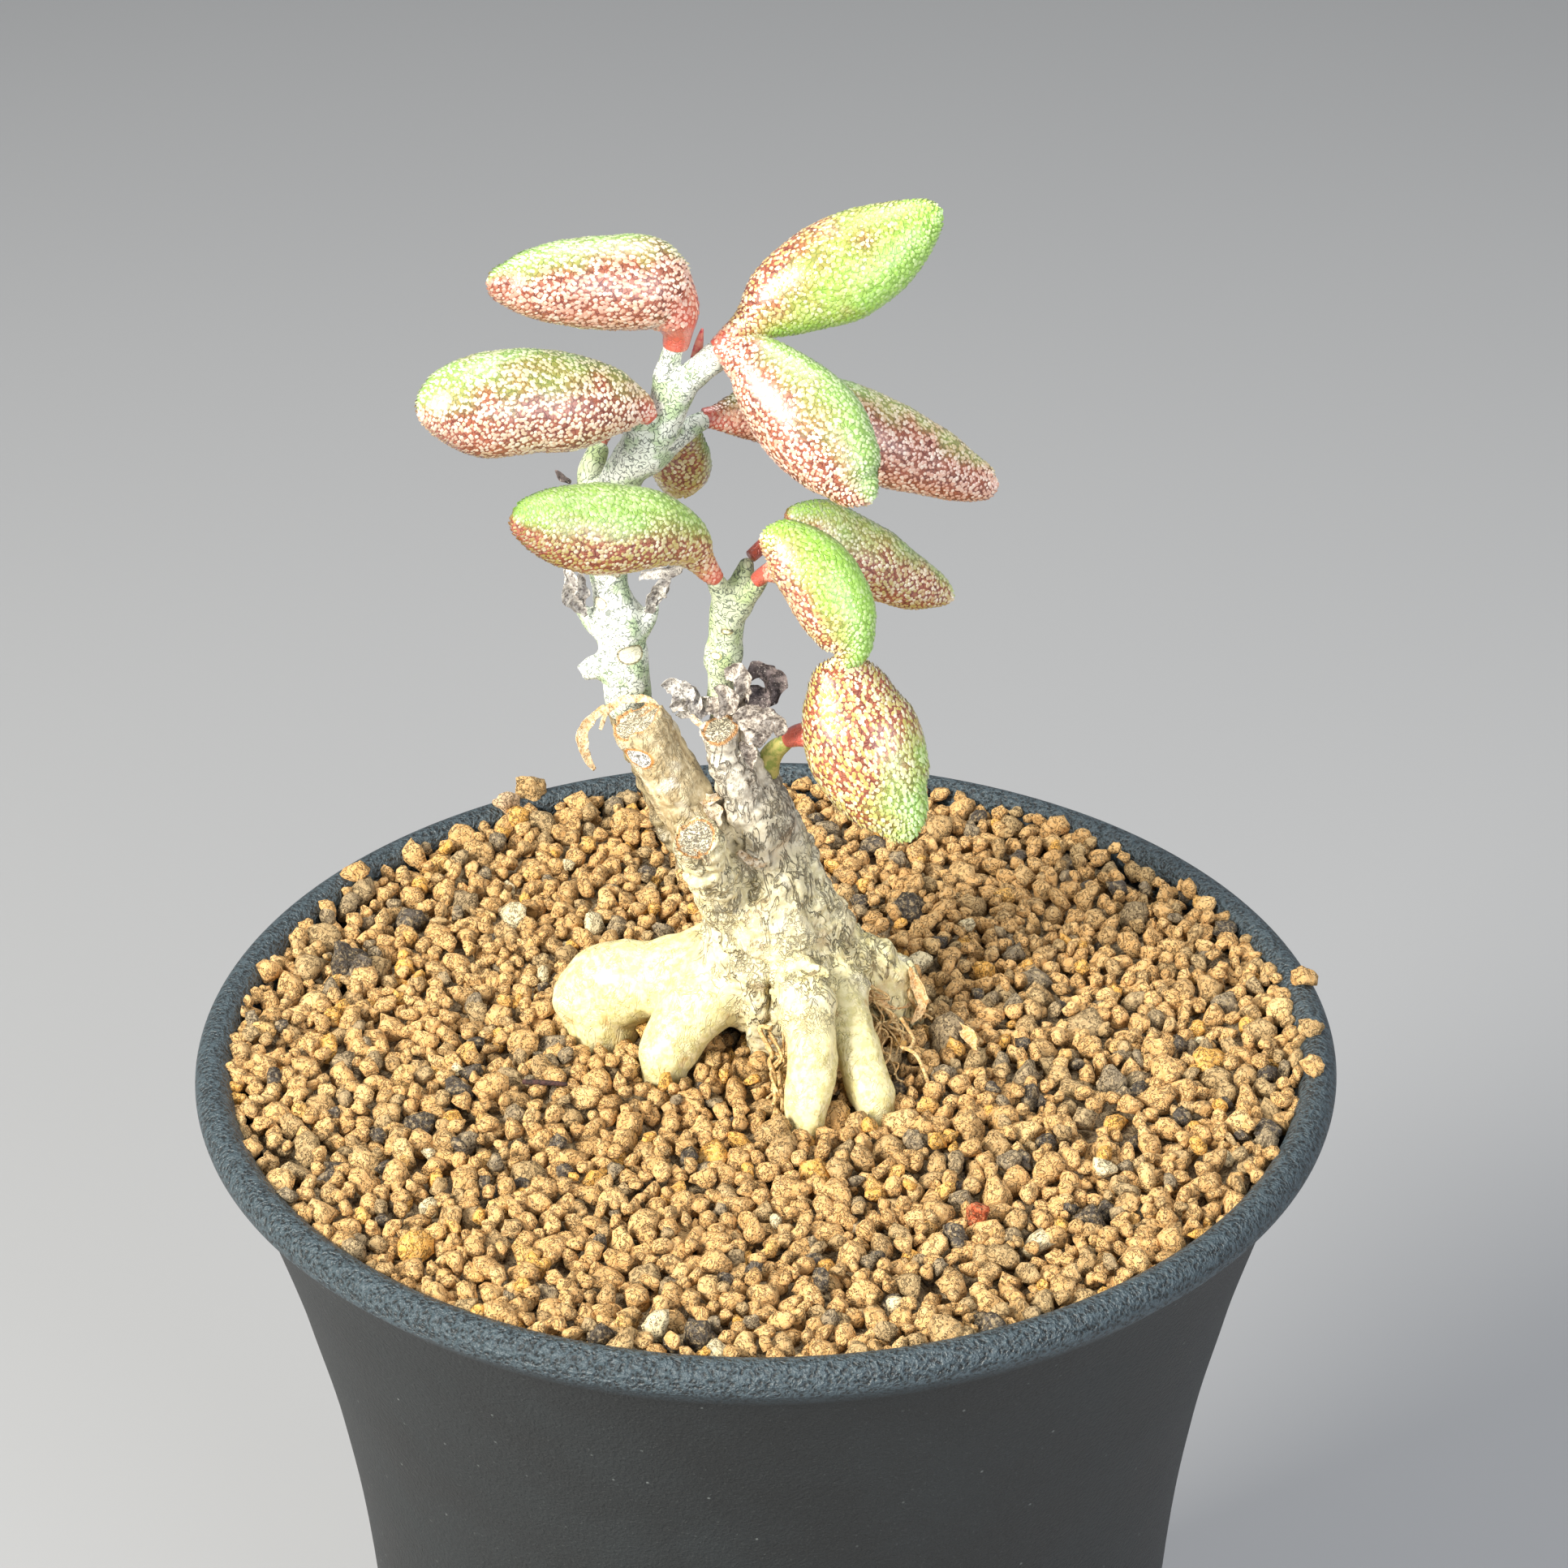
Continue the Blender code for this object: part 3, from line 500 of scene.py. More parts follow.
class Ink:
    """One material under construction, its coordinates in millimetres."""

    def __init__(self, name: str) -> None:
        """Start a material with a Principled shader and the object's own coordinates."""
        self.material = bpy.data.materials.new(name)
        self.material.use_nodes = True
        self.tree = self.material.node_tree
        self.shader = self.tree.nodes["Principled BSDF"]
        place = self.node("TexCoord", {}, {}, "Object")
        self.place = self.node("Mapping", {}, {"Vector": place, "Scale": (1 / MM,) * 3})

    def node(self, kind: str, settings: dict, inputs: Union[dict, list],
             output: Union[int, str] = 0) -> Val:
        """Add a node: settings first, then the values or links of its sockets.

        Args:
            kind: the node's type without its ShaderNode prefix.
            settings: properties by name; stops is a ramp's list of (place, colour).
            inputs: socket values or links by name, identifier or order.
            output: which output is wanted.

        Returns:
            The wanted output.
        """
        made = self.tree.nodes.new("ShaderNode" + kind)
        for key, value in settings.items():
            if key == "stops":
                ramp = made.color_ramp
                while len(ramp.elements) < len(value):
                    ramp.elements.new(0.5)
                for stop, (at, code) in zip(ramp.elements, value):
                    stop.position, stop.color = at, rgb(code)
            else:
                setattr(made, key, value)
        pairs = inputs.items() if isinstance(inputs, dict) else enumerate(inputs)
        for key, value in pairs:
            self.feed(self.socket_of(made.inputs, key), value)
        return Val(self, self.socket_of(made.outputs, output))

    @staticmethod
    def socket_of(sockets: Sequence, key: Union[int, str]) -> bpy.types.NodeSocket:
        """A socket by its order, identifier or name."""
        if isinstance(key, int):
            return sockets[key]
        match = [socket for socket in sockets if socket.identifier == key]
        return match[0] if match else sockets[key]

    def feed(self, socket: bpy.types.NodeSocket, value: object) -> None:
        """Link or set one input; a colour may be given as hex digits."""
        if isinstance(value, Val):
            self.tree.links.new(value.socket, socket)
        else:
            socket.default_value = rgb(value) if isinstance(value, str) else value

    def carried(self, name: str) -> Val:
        """A number that the mesh's points carry."""
        return self.node("Attribute", {"attribute_name": name}, {}, "Fac")

    def stretched(self, scale: tuple[float, float, float],
                  turn: tuple[float, float, float] = (0, 0, 0)) -> Val:
        """The coordinates turned and stretched."""
        return self.node("Mapping", {}, {"Vector": self.place, "Scale": scale, "Rotation": turn})

    def grain(self, size: float, detail: float = 2, rough: float = 0.5,
              warp: float = 0, place: Optional[Val] = None) -> Val:
        """Cloudy noise from 0 to 1 with blots of the given size in mm."""
        return self.node("TexNoise", {}, {
            "Vector": place or self.place, "Scale": 1 / size, "Detail": detail,
            "Roughness": rough, "Distortion": warp}, "Fac")

    def cells(self, size: float, feature: str = "F1", output: str = "Distance",
              place: Optional[Val] = None) -> Val:
        """Voronoi cells of the given size in mm."""
        return self.node("TexVoronoi", {"feature": feature}, {
            "Vector": place or self.place, "Scale": 1 / size}, output)

    def mix(self, share: Number, start: Colour, end: Colour) -> Val:
        """A colour between two."""
        return self.node("Mix", {"data_type": "RGBA"}, {
            "Factor_Float": share, "A_Color": start, "B_Color": end}, "Result_Color")

    def bump(self, height: Number, depth: float, under: Optional[Val] = None) -> Val:
        """A normal from a height of 0 to 1 that stands for the given depth in mm."""
        inputs = {"Height": height, "Distance": depth * MM, "Strength": 1.0}
        if under is not None:
            inputs["Normal"] = under
        return self.node("Bump", {}, inputs)

    def finish(self, colour: Colour, roughness: Number, normal: Optional[Val] = None,
               **sockets: Number) -> bpy.types.Material:
        """Feed the shader and hand over the material; socket names use _ for spaces."""
        self.feed(self.shader.inputs["Base Color"], colour)
        self.feed(self.shader.inputs["Roughness"], roughness)
        if normal is not None:
            self.feed(self.shader.inputs["Normal"], normal)
        for key, value in sockets.items():
            self.feed(self.shader.inputs[key.replace("_", " ")], value)
        return self.material


@dataclass(frozen=True)
class BlackPlastic:
    """Moulded black plastic: a leathery rim whose grain is painted a bluish-grey sheen, a finer wall with
    cloudy painted sheen, and pale dust.
    """

    body: str = "0f1212"
    painted_sheen: str = "171c1d"
    rim: str = "3c494f"
    dust: str = "6e7370"

    def make(self) -> bpy.types.Material:
        """Build the material."""
        ink = Ink("black_plastic")
        rim = ink.carried("rim")
        cloud = ink.grain(9, 4, 0.6)
        hide = ink.cells(0.38, "F1", place=ink.node("VectorMath", {"operation": "ADD"}, [
            ink.place, ink.node("TexNoise", {}, {"Vector": ink.place, "Scale": 1.6}, "Color")]))
        fine = ink.grain(0.22, 3, 0.65)
        specks = ink.cells(1.7).ease(0.09, 0.04) * ink.grain(6, 2).ease(0.42, 0.6)
        # Painted sheen: cloudy lighter patches on the black stand in for reflected light.
        base = ink.mix(cloud.ease(0.3, 0.75), self.body, self.painted_sheen)
        # Painted sheen: the rim's leathery cells are coloured bluish grey for the light they reflect; the
        # leathery grain itself is real.
        base = ink.mix(rim * hide.ease(0.1, 0.7), base, self.rim)
        base = ink.mix(specks * (1 - rim) * 0.7, base, self.dust)
        base = ink.mix(fine.ease(0.6, 0.8) * 0.3, base, self.dust)
        height = hide * (0.35 + 0.65 * rim) + fine * 0.5
        return ink.finish(base, 0.34 + 0.16 * cloud + 0.1 * (1 - rim),
                          ink.bump(height, 0.24), Specular_IOR_Level=0.5)


@dataclass(frozen=True)
class BakedClay:
    """Porous grains: tan, brown and orange, some grey or dark, each its own tone, with painted shade in their
    pits, seams and low spots.
    """

    stops: tuple = (
        (0.0, "47433f"), (0.04, "625b53"), (0.06, "8d7f68"), (0.2, "b3986c"),
        (0.4, "d0a469"), (0.7, "e2b273"), (0.88, "eac183"), (0.95, "eaae50"),
        (0.97, "b4482a"), (1.0, "efdfb4"),
    )
    dust: str = "e3c795"
    pit_shade: str = "54402a"

    def make(self) -> bpy.types.Material:
        """Build the material."""
        ink = Ink("baked_clay")
        tone = ink.node("ValToRGB", {"stops": self.stops}, [ink.carried("tone")], "Color")
        cloud = ink.grain(0.4, 4, 0.7)
        pits = ink.cells(0.26).ease(0.3, 0.1) * ink.grain(0.45, 2).ease(0.45, 0.58)
        seams = abs(ink.grain(0.8, 3, 0.6, 0.5) - 0.5).ease(0.03, 0.0)
        base = ink.mix(cloud.ease(0.45, 0.65) * 0.45, tone, self.dust)
        # Painted shade: the low spots, pits and seams of the bump are darkened with the pit shade colour.
        base = ink.mix(cloud.ease(0.45, 0.28) * 0.55, base, self.pit_shade)
        base = ink.mix(pits * 0.8, base, self.pit_shade)
        base = ink.mix(seams * 0.5, base, self.pit_shade)
        height = cloud * 1.2 - pits * 0.8 - seams * 0.7
        return ink.finish(base, 0.9, ink.bump(height, 0.36), Specular_IOR_Level=0.2)


@dataclass(frozen=True)
class LeafFlesh:
    """The leaf's own skin, seen as a net between its beads: green, blushed red-brown."""

    green: str = "7fae3a"
    lime: str = "95c647"
    blush: str = "96492f"
    dark_blush: str = "6e2a1c"
    stalk: str = "cf5f4c"

    def make(self) -> bpy.types.Material:
        """Build the material."""
        ink = Ink("leaf_flesh")
        red, stem = ink.carried("blush"), ink.carried("stalk")
        cloud = ink.grain(1.1, 3, 0.6)
        net = ink.cells(0.42, "DISTANCE_TO_EDGE").ease(0.02, 0.12)
        green = ink.mix(cloud.ease(0.4, 0.62), self.green, self.lime)
        green = ink.mix(ink.carried("fresh"), "8aab62", green)
        brown = ink.mix(cloud.ease(0.4, 0.6), self.blush, self.dark_blush)
        base = ink.mix(red, green, brown)
        base = ink.mix(net * 0.35, base, ink.mix(red, "a5cc58", "b57555"))
        base = ink.mix(stem, base, self.stalk)
        return ink.finish(base, 0.36, ink.bump(net * 0.7 + cloud * 0.5, 0.06),
                          Coat_Weight=1.0, Coat_Roughness=0.26, Specular_IOR_Level=0.6)


@dataclass(frozen=True)
class GlassyBeads:
    """The glistening beads that cover a leaf: pale green, or pinkish tan on the blush, whitened at random and
    by painted glare.
    """

    green: str = "9ccb50"
    soft_green: str = "afc98c"
    rosy: str = "cb9078"
    olive: str = "b3a355"
    white: str = "f3ead6"
    stalk: str = "dd8069"

    def make(self) -> bpy.types.Material:
        """Build the material."""
        ink = Ink("glassy_beads")
        shift = ink.carried("golden") + ink.grain(2.5, 2) * 0.8 - 0.4
        warm = ink.mix(shift.ease(0.1, 0.9), self.rosy, self.olive)
        green = ink.mix(ink.carried("fresh"), self.soft_green, self.green)
        base = ink.mix(ink.carried("blush"), green, warm)
        base = ink.mix(ink.carried("stalk"), base, self.stalk)
        # frost whitens the beads: pale beads at random, plus the leaf's painted glare.
        base = ink.mix(ink.carried("frost") * 0.65, base, self.white)
        return ink.finish(base, 0.32, Coat_Weight=1.0, Coat_Roughness=0.24,
                          Specular_IOR_Level=0.75)


@dataclass(frozen=True)
class OldWood:
    """The base's bark: lined beige trunk, waxy cream roots, tan, olive and grey limbs, with painted shade in
    the creases where limbs fuse.
    """

    trunk: tuple = ("cfc396", "e8dfb9")
    root: tuple = ("e6dcab", "cfc485")
    husky: tuple = ("dccf93", "eee4b4")
    tan: tuple = ("a8946c", "c9b890")
    olive: tuple = ("857758", "a89a76")
    grey: tuple = ("d3cdbb", "aca391")
    pale: tuple = ("e6dec8", "cdc2a4")
    crack_and_crease_shade: str = "3f3220"
    stain: str = "b4763a"
    cut: str = "ded3b6"
    rind: str = "c98a45"

    def make(self) -> bpy.types.Material:
        """Build the material."""
        ink = Ink("old_wood")
        root, face = ink.carried("root"), ink.carried("face")
        mottle = ink.grain(0.6, 4, 0.65)
        shade = mottle.ease(0.38, 0.62)
        base = ink.mix(shade, *self.trunk)
        for kind in ("root", "husky", "tan", "olive", "grey", "pale"):
            base = ink.mix(ink.carried(kind), base, ink.mix(shade, *getattr(self, kind)))
        bark = 1 - 0.75 * root
        net = abs(ink.grain(0.5, 2, 0.5, 0.4) - 0.5).ease(0.07, 0.01)
        net = net * ink.grain(2.2, 2).ease(0.46, 0.62)
        long_place = ink.stretched((1, 1, 0.4))
        cracks = abs(ink.grain(1.1, 3, 0.6, 0.7, long_place) - 0.5).ease(0.05, 0.0)
        cracks = cracks * ink.grain(2.4, 2).ease(0.4, 0.54)
        lines = net.math("MAXIMUM", net * 0.7, cracks) * bark * (1 - 0.6 * ink.carried("tan"))
        specks = ink.grain(0.2, 2).ease(0.62, 0.72) * ink.grain(1.6, 2).ease(0.45, 0.65)
        base = ink.mix(lines * 0.72, base, self.crack_and_crease_shade)
        base = ink.mix(specks * 0.5, base, self.crack_and_crease_shade)
        lengthwise = ink.node("Mapping", {"vector_type": "TEXTURE"}, {
            "Vector": ink.place, "Scale": (0.5, 0.5, 4.0), "Rotation": (0.1, -0.44, 0)})
        streak = ink.grain(1, 3, 0.6, 0.3, lengthwise)
        base = ink.mix(streak.ease(0.5, 0.72) * 0.6 * ink.carried("tan"), base, "6f5636")
        base = ink.mix(streak.ease(0.45, 0.28) * 0.5 * ink.carried("tan"), base, "efe2bd")
        blotch = ink.grain(2.6, 3, 0.6)
        base = ink.mix(blotch.ease(0.55, 0.7) * 0.35 * bark, base, "a67c49")
        base = ink.mix(blotch.ease(0.45, 0.3) * 0.55 * bark, base, "f6f0da")
        # Painted shade: the creases where limbs fuse (fold) are darkened with the crack colour.
        base = ink.mix(ink.carried("fold").ease(0.45, 1.0) * 0.25 * bark, base, self.crack_and_crease_shade)
        stains = ink.grain(1.5, 3).ease(0.6, 0.72)
        base = ink.mix(stains * 0.4 * root, base, self.stain)
        marks = abs(ink.grain(0.5, 3, 0.5, 1.5) - 0.5).ease(0.08, 0.0)
        wood = ink.mix(marks * 0.85, self.cut, "4c4436")
        rind = face.ease(0.05, 0.35) * face.ease(0.95, 0.6)
        base = ink.mix(face, base, wood)
        base = ink.mix(rind * 0.8, base, self.rind)
        scar = ink.carried("scar")
        base = ink.mix(scar.ease(0.1, 0.4), base, self.rind)
        base = ink.mix(scar.ease(0.45, 0.7), base, ink.mix(marks, "f4f2ea", "57534c"))
        height = mottle * 0.5 * bark - lines - marks * face * 0.5
        return ink.finish(base, 0.6 - 0.2 * root, ink.bump(height, 0.2))


@dataclass(frozen=True)
class NettedStem:
    """Silvery green stem skin under a fine dark squiggly net."""

    silver: str = "e4e9db"
    green: str = "b3c79f"
    ink_line: str = "3a4640"

    def make(self) -> bpy.types.Material:
        """Build the material."""
        ink = Ink("netted_stem")
        cloud = ink.grain(1.6, 2)
        net = abs(ink.grain(0.34, 0.5, 0.5, 0.5) - 0.5).ease(0.05, 0.02)
        base = ink.mix(cloud.ease(0.45, 0.65), self.silver, self.green)
        base = ink.mix(ink.carried("pale") * 0.5, base, "b5c47e")
        scar = ink.carried("scar")
        base = ink.mix(scar.ease(0.5, 0.7) * 0.85, base, "efe9c9")
        base = ink.mix(scar.ease(0.15, 0.35) * scar.ease(0.65, 0.5) * 0.8, base, "8d7a4e")
        net = net * (1 - 0.6 * scar.ease(0.4, 0.6))
        base = ink.mix(net * 0.75, base, self.ink_line)
        return ink.finish(base, 0.5, ink.bump(cloud * 0.3 - net * 0.7, 0.07))


@dataclass(frozen=True)
class DryTissue:
    """Wizened leaves, husks and bark scraps: papery, streaked and specked."""

    name: str
    light: str
    dark: str
    speck: str

    def make(self) -> bpy.types.Material:
        """Build the material."""
        ink = Ink(self.name)
        streak = ink.grain(0.5, 4, 0.65)
        specks = ink.grain(0.16, 2).ease(0.58, 0.66)
        base = ink.mix(streak.ease(0.35, 0.65), self.dark, self.light)
        base = ink.mix(specks * 0.6, base, self.speck)
        return ink.finish(base, 0.8, ink.bump(streak + specks * -0.4, 0.15))


@dataclass(frozen=True)
class PlainSkin:
    """A soft living skin between two colours, such as the red bud or the side shoot."""

    name: str
    first: str
    second: str

    def make(self) -> bpy.types.Material:
        """Build the material."""
        ink = Ink(self.name)
        cloud = ink.grain(0.5, 3, 0.6)
        base = ink.mix(cloud.ease(0.4, 0.6), self.first, self.second)
        return ink.finish(base, 0.45, ink.bump(cloud, 0.06), Coat_Weight=0.2)


# Pot

@dataclass
class Pot:
    """The round plastic pot: rolled rim with a mould line, flared wall, foot, drain holes."""

    radius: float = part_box("pot")[1].x / MM
    height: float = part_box("pot")[1].z / MM
    bead: float = 1.55
    wall: float = 1.5
    wall_line: Knots = (
        (42.6, 95.4), (41.0, 91.0), (38.8, 83.4), (37.6, 78.4), (35.5, 68.4),
        (33.6, 53.4), (31.8, 23.5), (30.7, 1.2))
    foot_radius: float = 30.2
    foot_width: float = 2.4
    foot_recess: float = 1.2
    floor_top: float = 3.0
    centre_hole: float = 5.0
    drains: int = 6
    drain_radius: float = 3.2
    drain_circle: float = 18.0
    sides: int = 224

    def inside(self, height: np.ndarray) -> np.ndarray:
        """The inner wall's radius at a height."""
        line = through(self.wall_line, 6)[::-1]
        return np.interp(height, line[:, 1], line[:, 0] - self.wall)

    def profile(self) -> np.ndarray:
        """The turned outline as (radius, height, share of rim), round and back.

        The bead is an arc, the walls are smooth curves, and a fine mould line stands out
        from the bead's lower outer edge.
        """
        angle = np.radians(np.linspace(180, -48, 30))
        ridge = 0.09 * np.exp(-((angle + 0.5) / 0.06) ** 2)
        middle = np.array([self.radius - self.bead, self.height - self.bead])
        bead = middle + (self.bead + ridge - 0.09)[:, None] * np.stack(
            [np.cos(angle), np.sin(angle)], -1)
        outer = through(self.wall_line, 6)
        inner = outer[::-1][outer[::-1, 1] > self.floor_top] - [self.wall, 0]
        low = self.foot_radius - self.foot_width
        foot = np.array([
            [self.foot_radius + 0.3, 0.3], [self.foot_radius, 0.0], [low, 0.0],
            [low - 0.4, self.foot_recess], [self.centre_hole, self.foot_recess],
            [self.centre_hole, self.floor_top], [inner[0, 0] - 1, self.floor_top],
            [inner[0, 0], self.floor_top + 1]])
        parts = [bead, outer, foot, inner[1:]]
        rim = np.concatenate([np.full(len(part), float(part is bead)) for part in parts])
        return np.column_stack([np.vstack(parts), rim])

    def build(self) -> None:
        """Turn the outline, drill the drain holes and dress the pot."""
        line = self.profile()
        angle = np.linspace(0, 2 * math.pi, self.sides, endpoint=False)
        rings = np.stack([np.outer(line[:, 0], np.cos(angle)), np.outer(line[:, 0], np.sin(angle)),
                          np.repeat(line[:, 1:2], self.sides, 1)], axis=-1)
        index = np.arange(rings[..., 0].size).reshape(rings.shape[:2])
        down, round_ = np.roll(index, -1, axis=0), np.roll(index, -1, axis=1)
        quads = np.stack([index, down, np.roll(down, -1, axis=1), round_], -1).reshape(-1, 4)
        rim = np.repeat(line[:, 2:], self.sides, 1).ravel()
        skin = Skin(rings.reshape(-1, 3), [quads], {"rim": rim}).outward()
        pot = skin.place("pot_fine", BlackPlastic().make(), "pot", ["pot"])
        for number in range(self.drains):
            turn = 2 * math.pi * number / self.drains
            self.drill(pot, self.drain_circle * math.cos(turn), self.drain_circle * math.sin(turn))

    def drill(self, pot: bpy.types.Object, x: float, y: float) -> None:
        """Cut one drain hole through the floor."""
        cage = bmesh.new()
        bmesh.ops.create_cone(
            cage, cap_ends=True, segments=32, radius1=self.drain_radius * MM,
            radius2=self.drain_radius * MM, depth=4 * self.floor_top * MM,
            matrix=Matrix.Translation(Vector((x, y, 0)) * MM))
        mesh = bpy.data.meshes.new("drill")
        cage.to_mesh(mesh)
        cage.free()
        drill = bpy.data.objects.new("drill", mesh)
        bpy.context.scene.collection.objects.link(drill)
        cut = pot.modifiers.new("drain", "BOOLEAN")
        cut.operation, cut.solver, cut.object = "DIFFERENCE", "EXACT", drill
        bpy.context.view_layer.update()
        graph = bpy.context.evaluated_depsgraph_get()
        drilled = bpy.data.meshes.new_from_object(pot.evaluated_get(graph))
        pot.modifiers.clear()
        pot.data = drilled
        bpy.data.objects.remove(drill)


# Plant

KNOTTY_BASE = (
    Limb(((-0.2, 1.5, 114.2, 4.0), (-0.1, 1.5, 112.5, 4.6), (0.2, 1.5, 109.9, 5.2),
          (0.5, 1.5, 107.0, 5.6), (0.5, 1.5, 104.4, 5.0), (0.9, 1.2, 101.6, 3.4),
          (0.9, 1.0, 97.0, 1.8), (0.9, 1.0, 92.0, 1.2)), Bark.TRUNK),
    Limb(((-3.5, 2.6, 104.2, 3.3), (-7.9, 2.8, 103.0, 3.1), (-11.2, 3.2, 101.9, 3.3),
          (-13.0, 3.4, 100.4, 3.0), (-13.0, 3.2, 97.5, 2.8), (-12.6, 2.8, 90.5, 1.6)),
         Bark.ROOT, fillet=1.6),
    Limb(((-11.4, 3.2, 103.0, 2.6), (-13.8, 3.5, 102.8, 1.9), (-15.0, 3.0, 101.0, 1.9)),
         Bark.ROOT, fillet=1.2),
    Limb(((-3.6, 0.0, 104.0, 3.0), (-5.8, -1.2, 102.0, 2.7), (-7.2, -2.5, 100.2, 2.4),
          (-8.0, -3.2, 98.4, 1.9), (-8.2, -3.6, 91.0, 1.2)), Bark.ROOT, fillet=1.0),
    Limb(((-0.6, -0.6, 103.0, 2.2), (0.0, -0.9, 100.6, 1.6), (0.2, -1.0, 97.6, 1.2),
          (0.2, -1.2, 92.0, 0.8)), Bark.TRUNK),
    Limb(((2.2, -2.0, 106.6, 2.2), (3.0, -4.6, 106.3, 2.1), (3.3, -6.4, 105.0, 2.15)),
         Bark.HUSKY, fillet=0.7),
    Limb(((3.3, -6.4, 105.0, 1.95), (3.6, -8.2, 102.8, 1.95), (3.4, -9.6, 100.3, 1.85),
          (2.9, -10.4, 97.6, 1.6), (2.7, -10.8, 90.5, 0.9)), Bark.ROOT, fillet=0.5),
    Limb(((5.2, -4.5, 106.3, 0.35), (4.6, -4.2, 107.7, 0.4), (3.0, -4.0, 108.3, 0.4),
          (1.4, -4.3, 107.7, 0.4), (0.8, -4.7, 106.3, 0.35)), Bark.HUSKY, fillet=0.3),
    Limb(((5.3, -5.5, 105.7, 0.25), (4.6, -5.1, 107.0, 0.3), (3.2, -4.8, 107.6, 0.3),
          (1.8, -5.2, 107.0, 0.3), (1.1, -5.7, 105.7, 0.25)), Bark.HUSKY, fillet=0.2),
    Limb(((4.6, -0.6, 105.0, 2.0), (6.1, -3.2, 103.4, 1.8), (7.0, -5.6, 101.6, 1.8),
          (7.9, -7.5, 99.6, 1.75), (8.6, -8.8, 97.3, 1.5), (9.0, -9.4, 91.0, 0.9)),
         Bark.ROOT, fillet=0.5),
    Limb(((3.6, 2.4, 107.2, 2.6), (6.6, 2.9, 105.2, 2.6), (8.9, 3.3, 102.9, 2.7),
          (10.1, 3.8, 100.6, 2.4), (10.6, 4.4, 97.0, 1.8), (11.0, 5.4, 91.0, 0.9)),
         Bark.HUSKY, fillet=0.6),
    Limb(((4.6, -0.4, 106.6, 1.5), (6.5, -1.4, 104.9, 1.3), (7.3, -1.4, 103.4, 1.0)),
         Bark.HUSKY, fillet=0.6),
    Limb(((0.6, 4.0, 105.4, 2.8), (0.4, 7.0, 102.2, 2.4), (0.2, 8.4, 98.2, 2.0),
          (0.2, 8.8, 91.0, 1.0)), Bark.HUSKY),
    Limb(((-2.6, 0.6, 112.0, 2.5), (-4.6, 0.0, 117.4, 2.4), (-6.9, -0.5, 122.7, 2.3),
          (-9.6, -1.0, 128.2, 2.25)), Bark.TAN, cut=True, fillet=1.2),
    Limb(((-3.0, -0.8, 112.4, 2.4), (-4.2, -3.4, 116.6, 2.15), (-5.2, -5.6, 120.4, 1.8)),
         Bark.TRUNK, cut=True, fillet=0.6),
    Limb(((-2.6, 3.4, 110.6, 2.4), (-5.8, 3.9, 115.2, 2.0), (-8.0, 4.1, 119.1, 1.9),
          (-9.6, 4.1, 123.4, 1.8), (-10.2, 4.0, 126.4, 1.8)), Bark.OLIVE, fillet=0.8),
    Limb(((1.1, 1.6, 112.6, 2.6), (0.5, 1.0, 116.8, 2.3), (-0.4, 0.5, 120.3, 2.1),
          (-1.2, 0.6, 122.9, 1.5), (-2.0, 0.8, 125.4, 1.35), (-2.8, 0.7, 127.6, 1.25)),
         Bark.GREY, fillet=0.3),
    Limb(((-0.6, -0.6, 118.4, 1.9), (-1.6, -0.8, 121.6, 1.8), (-2.6, -1.2, 124.8, 1.6),
          (-3.3, -1.6, 127.7, 1.6)), Bark.GREY, cut=True, fillet=0.25),
    Limb(((3.0, 3.0, 111.6, 1.9), (1.9, 2.7, 115.1, 1.65), (0.9, 2.5, 118.1, 1.5),
          (0.2, 2.2, 120.4, 1.4), (0.1, 1.8, 121.9, 1.2)), Bark.GREY, fillet=0.6),
    Limb(((-0.1, -0.4, 115.4, 1.5), (-0.7, -1.0, 117.2, 1.75), (-0.2, -0.4, 119.7, 1.5)),
         Bark.PALE, fillet=0.4),
    Limb(((3.6, 1.0, 111.0, 2.2), (5.0, 1.4, 109.4, 1.7), (5.6, 1.8, 107.0, 1.6)),
         Bark.TRUNK, fillet=0.6),
)
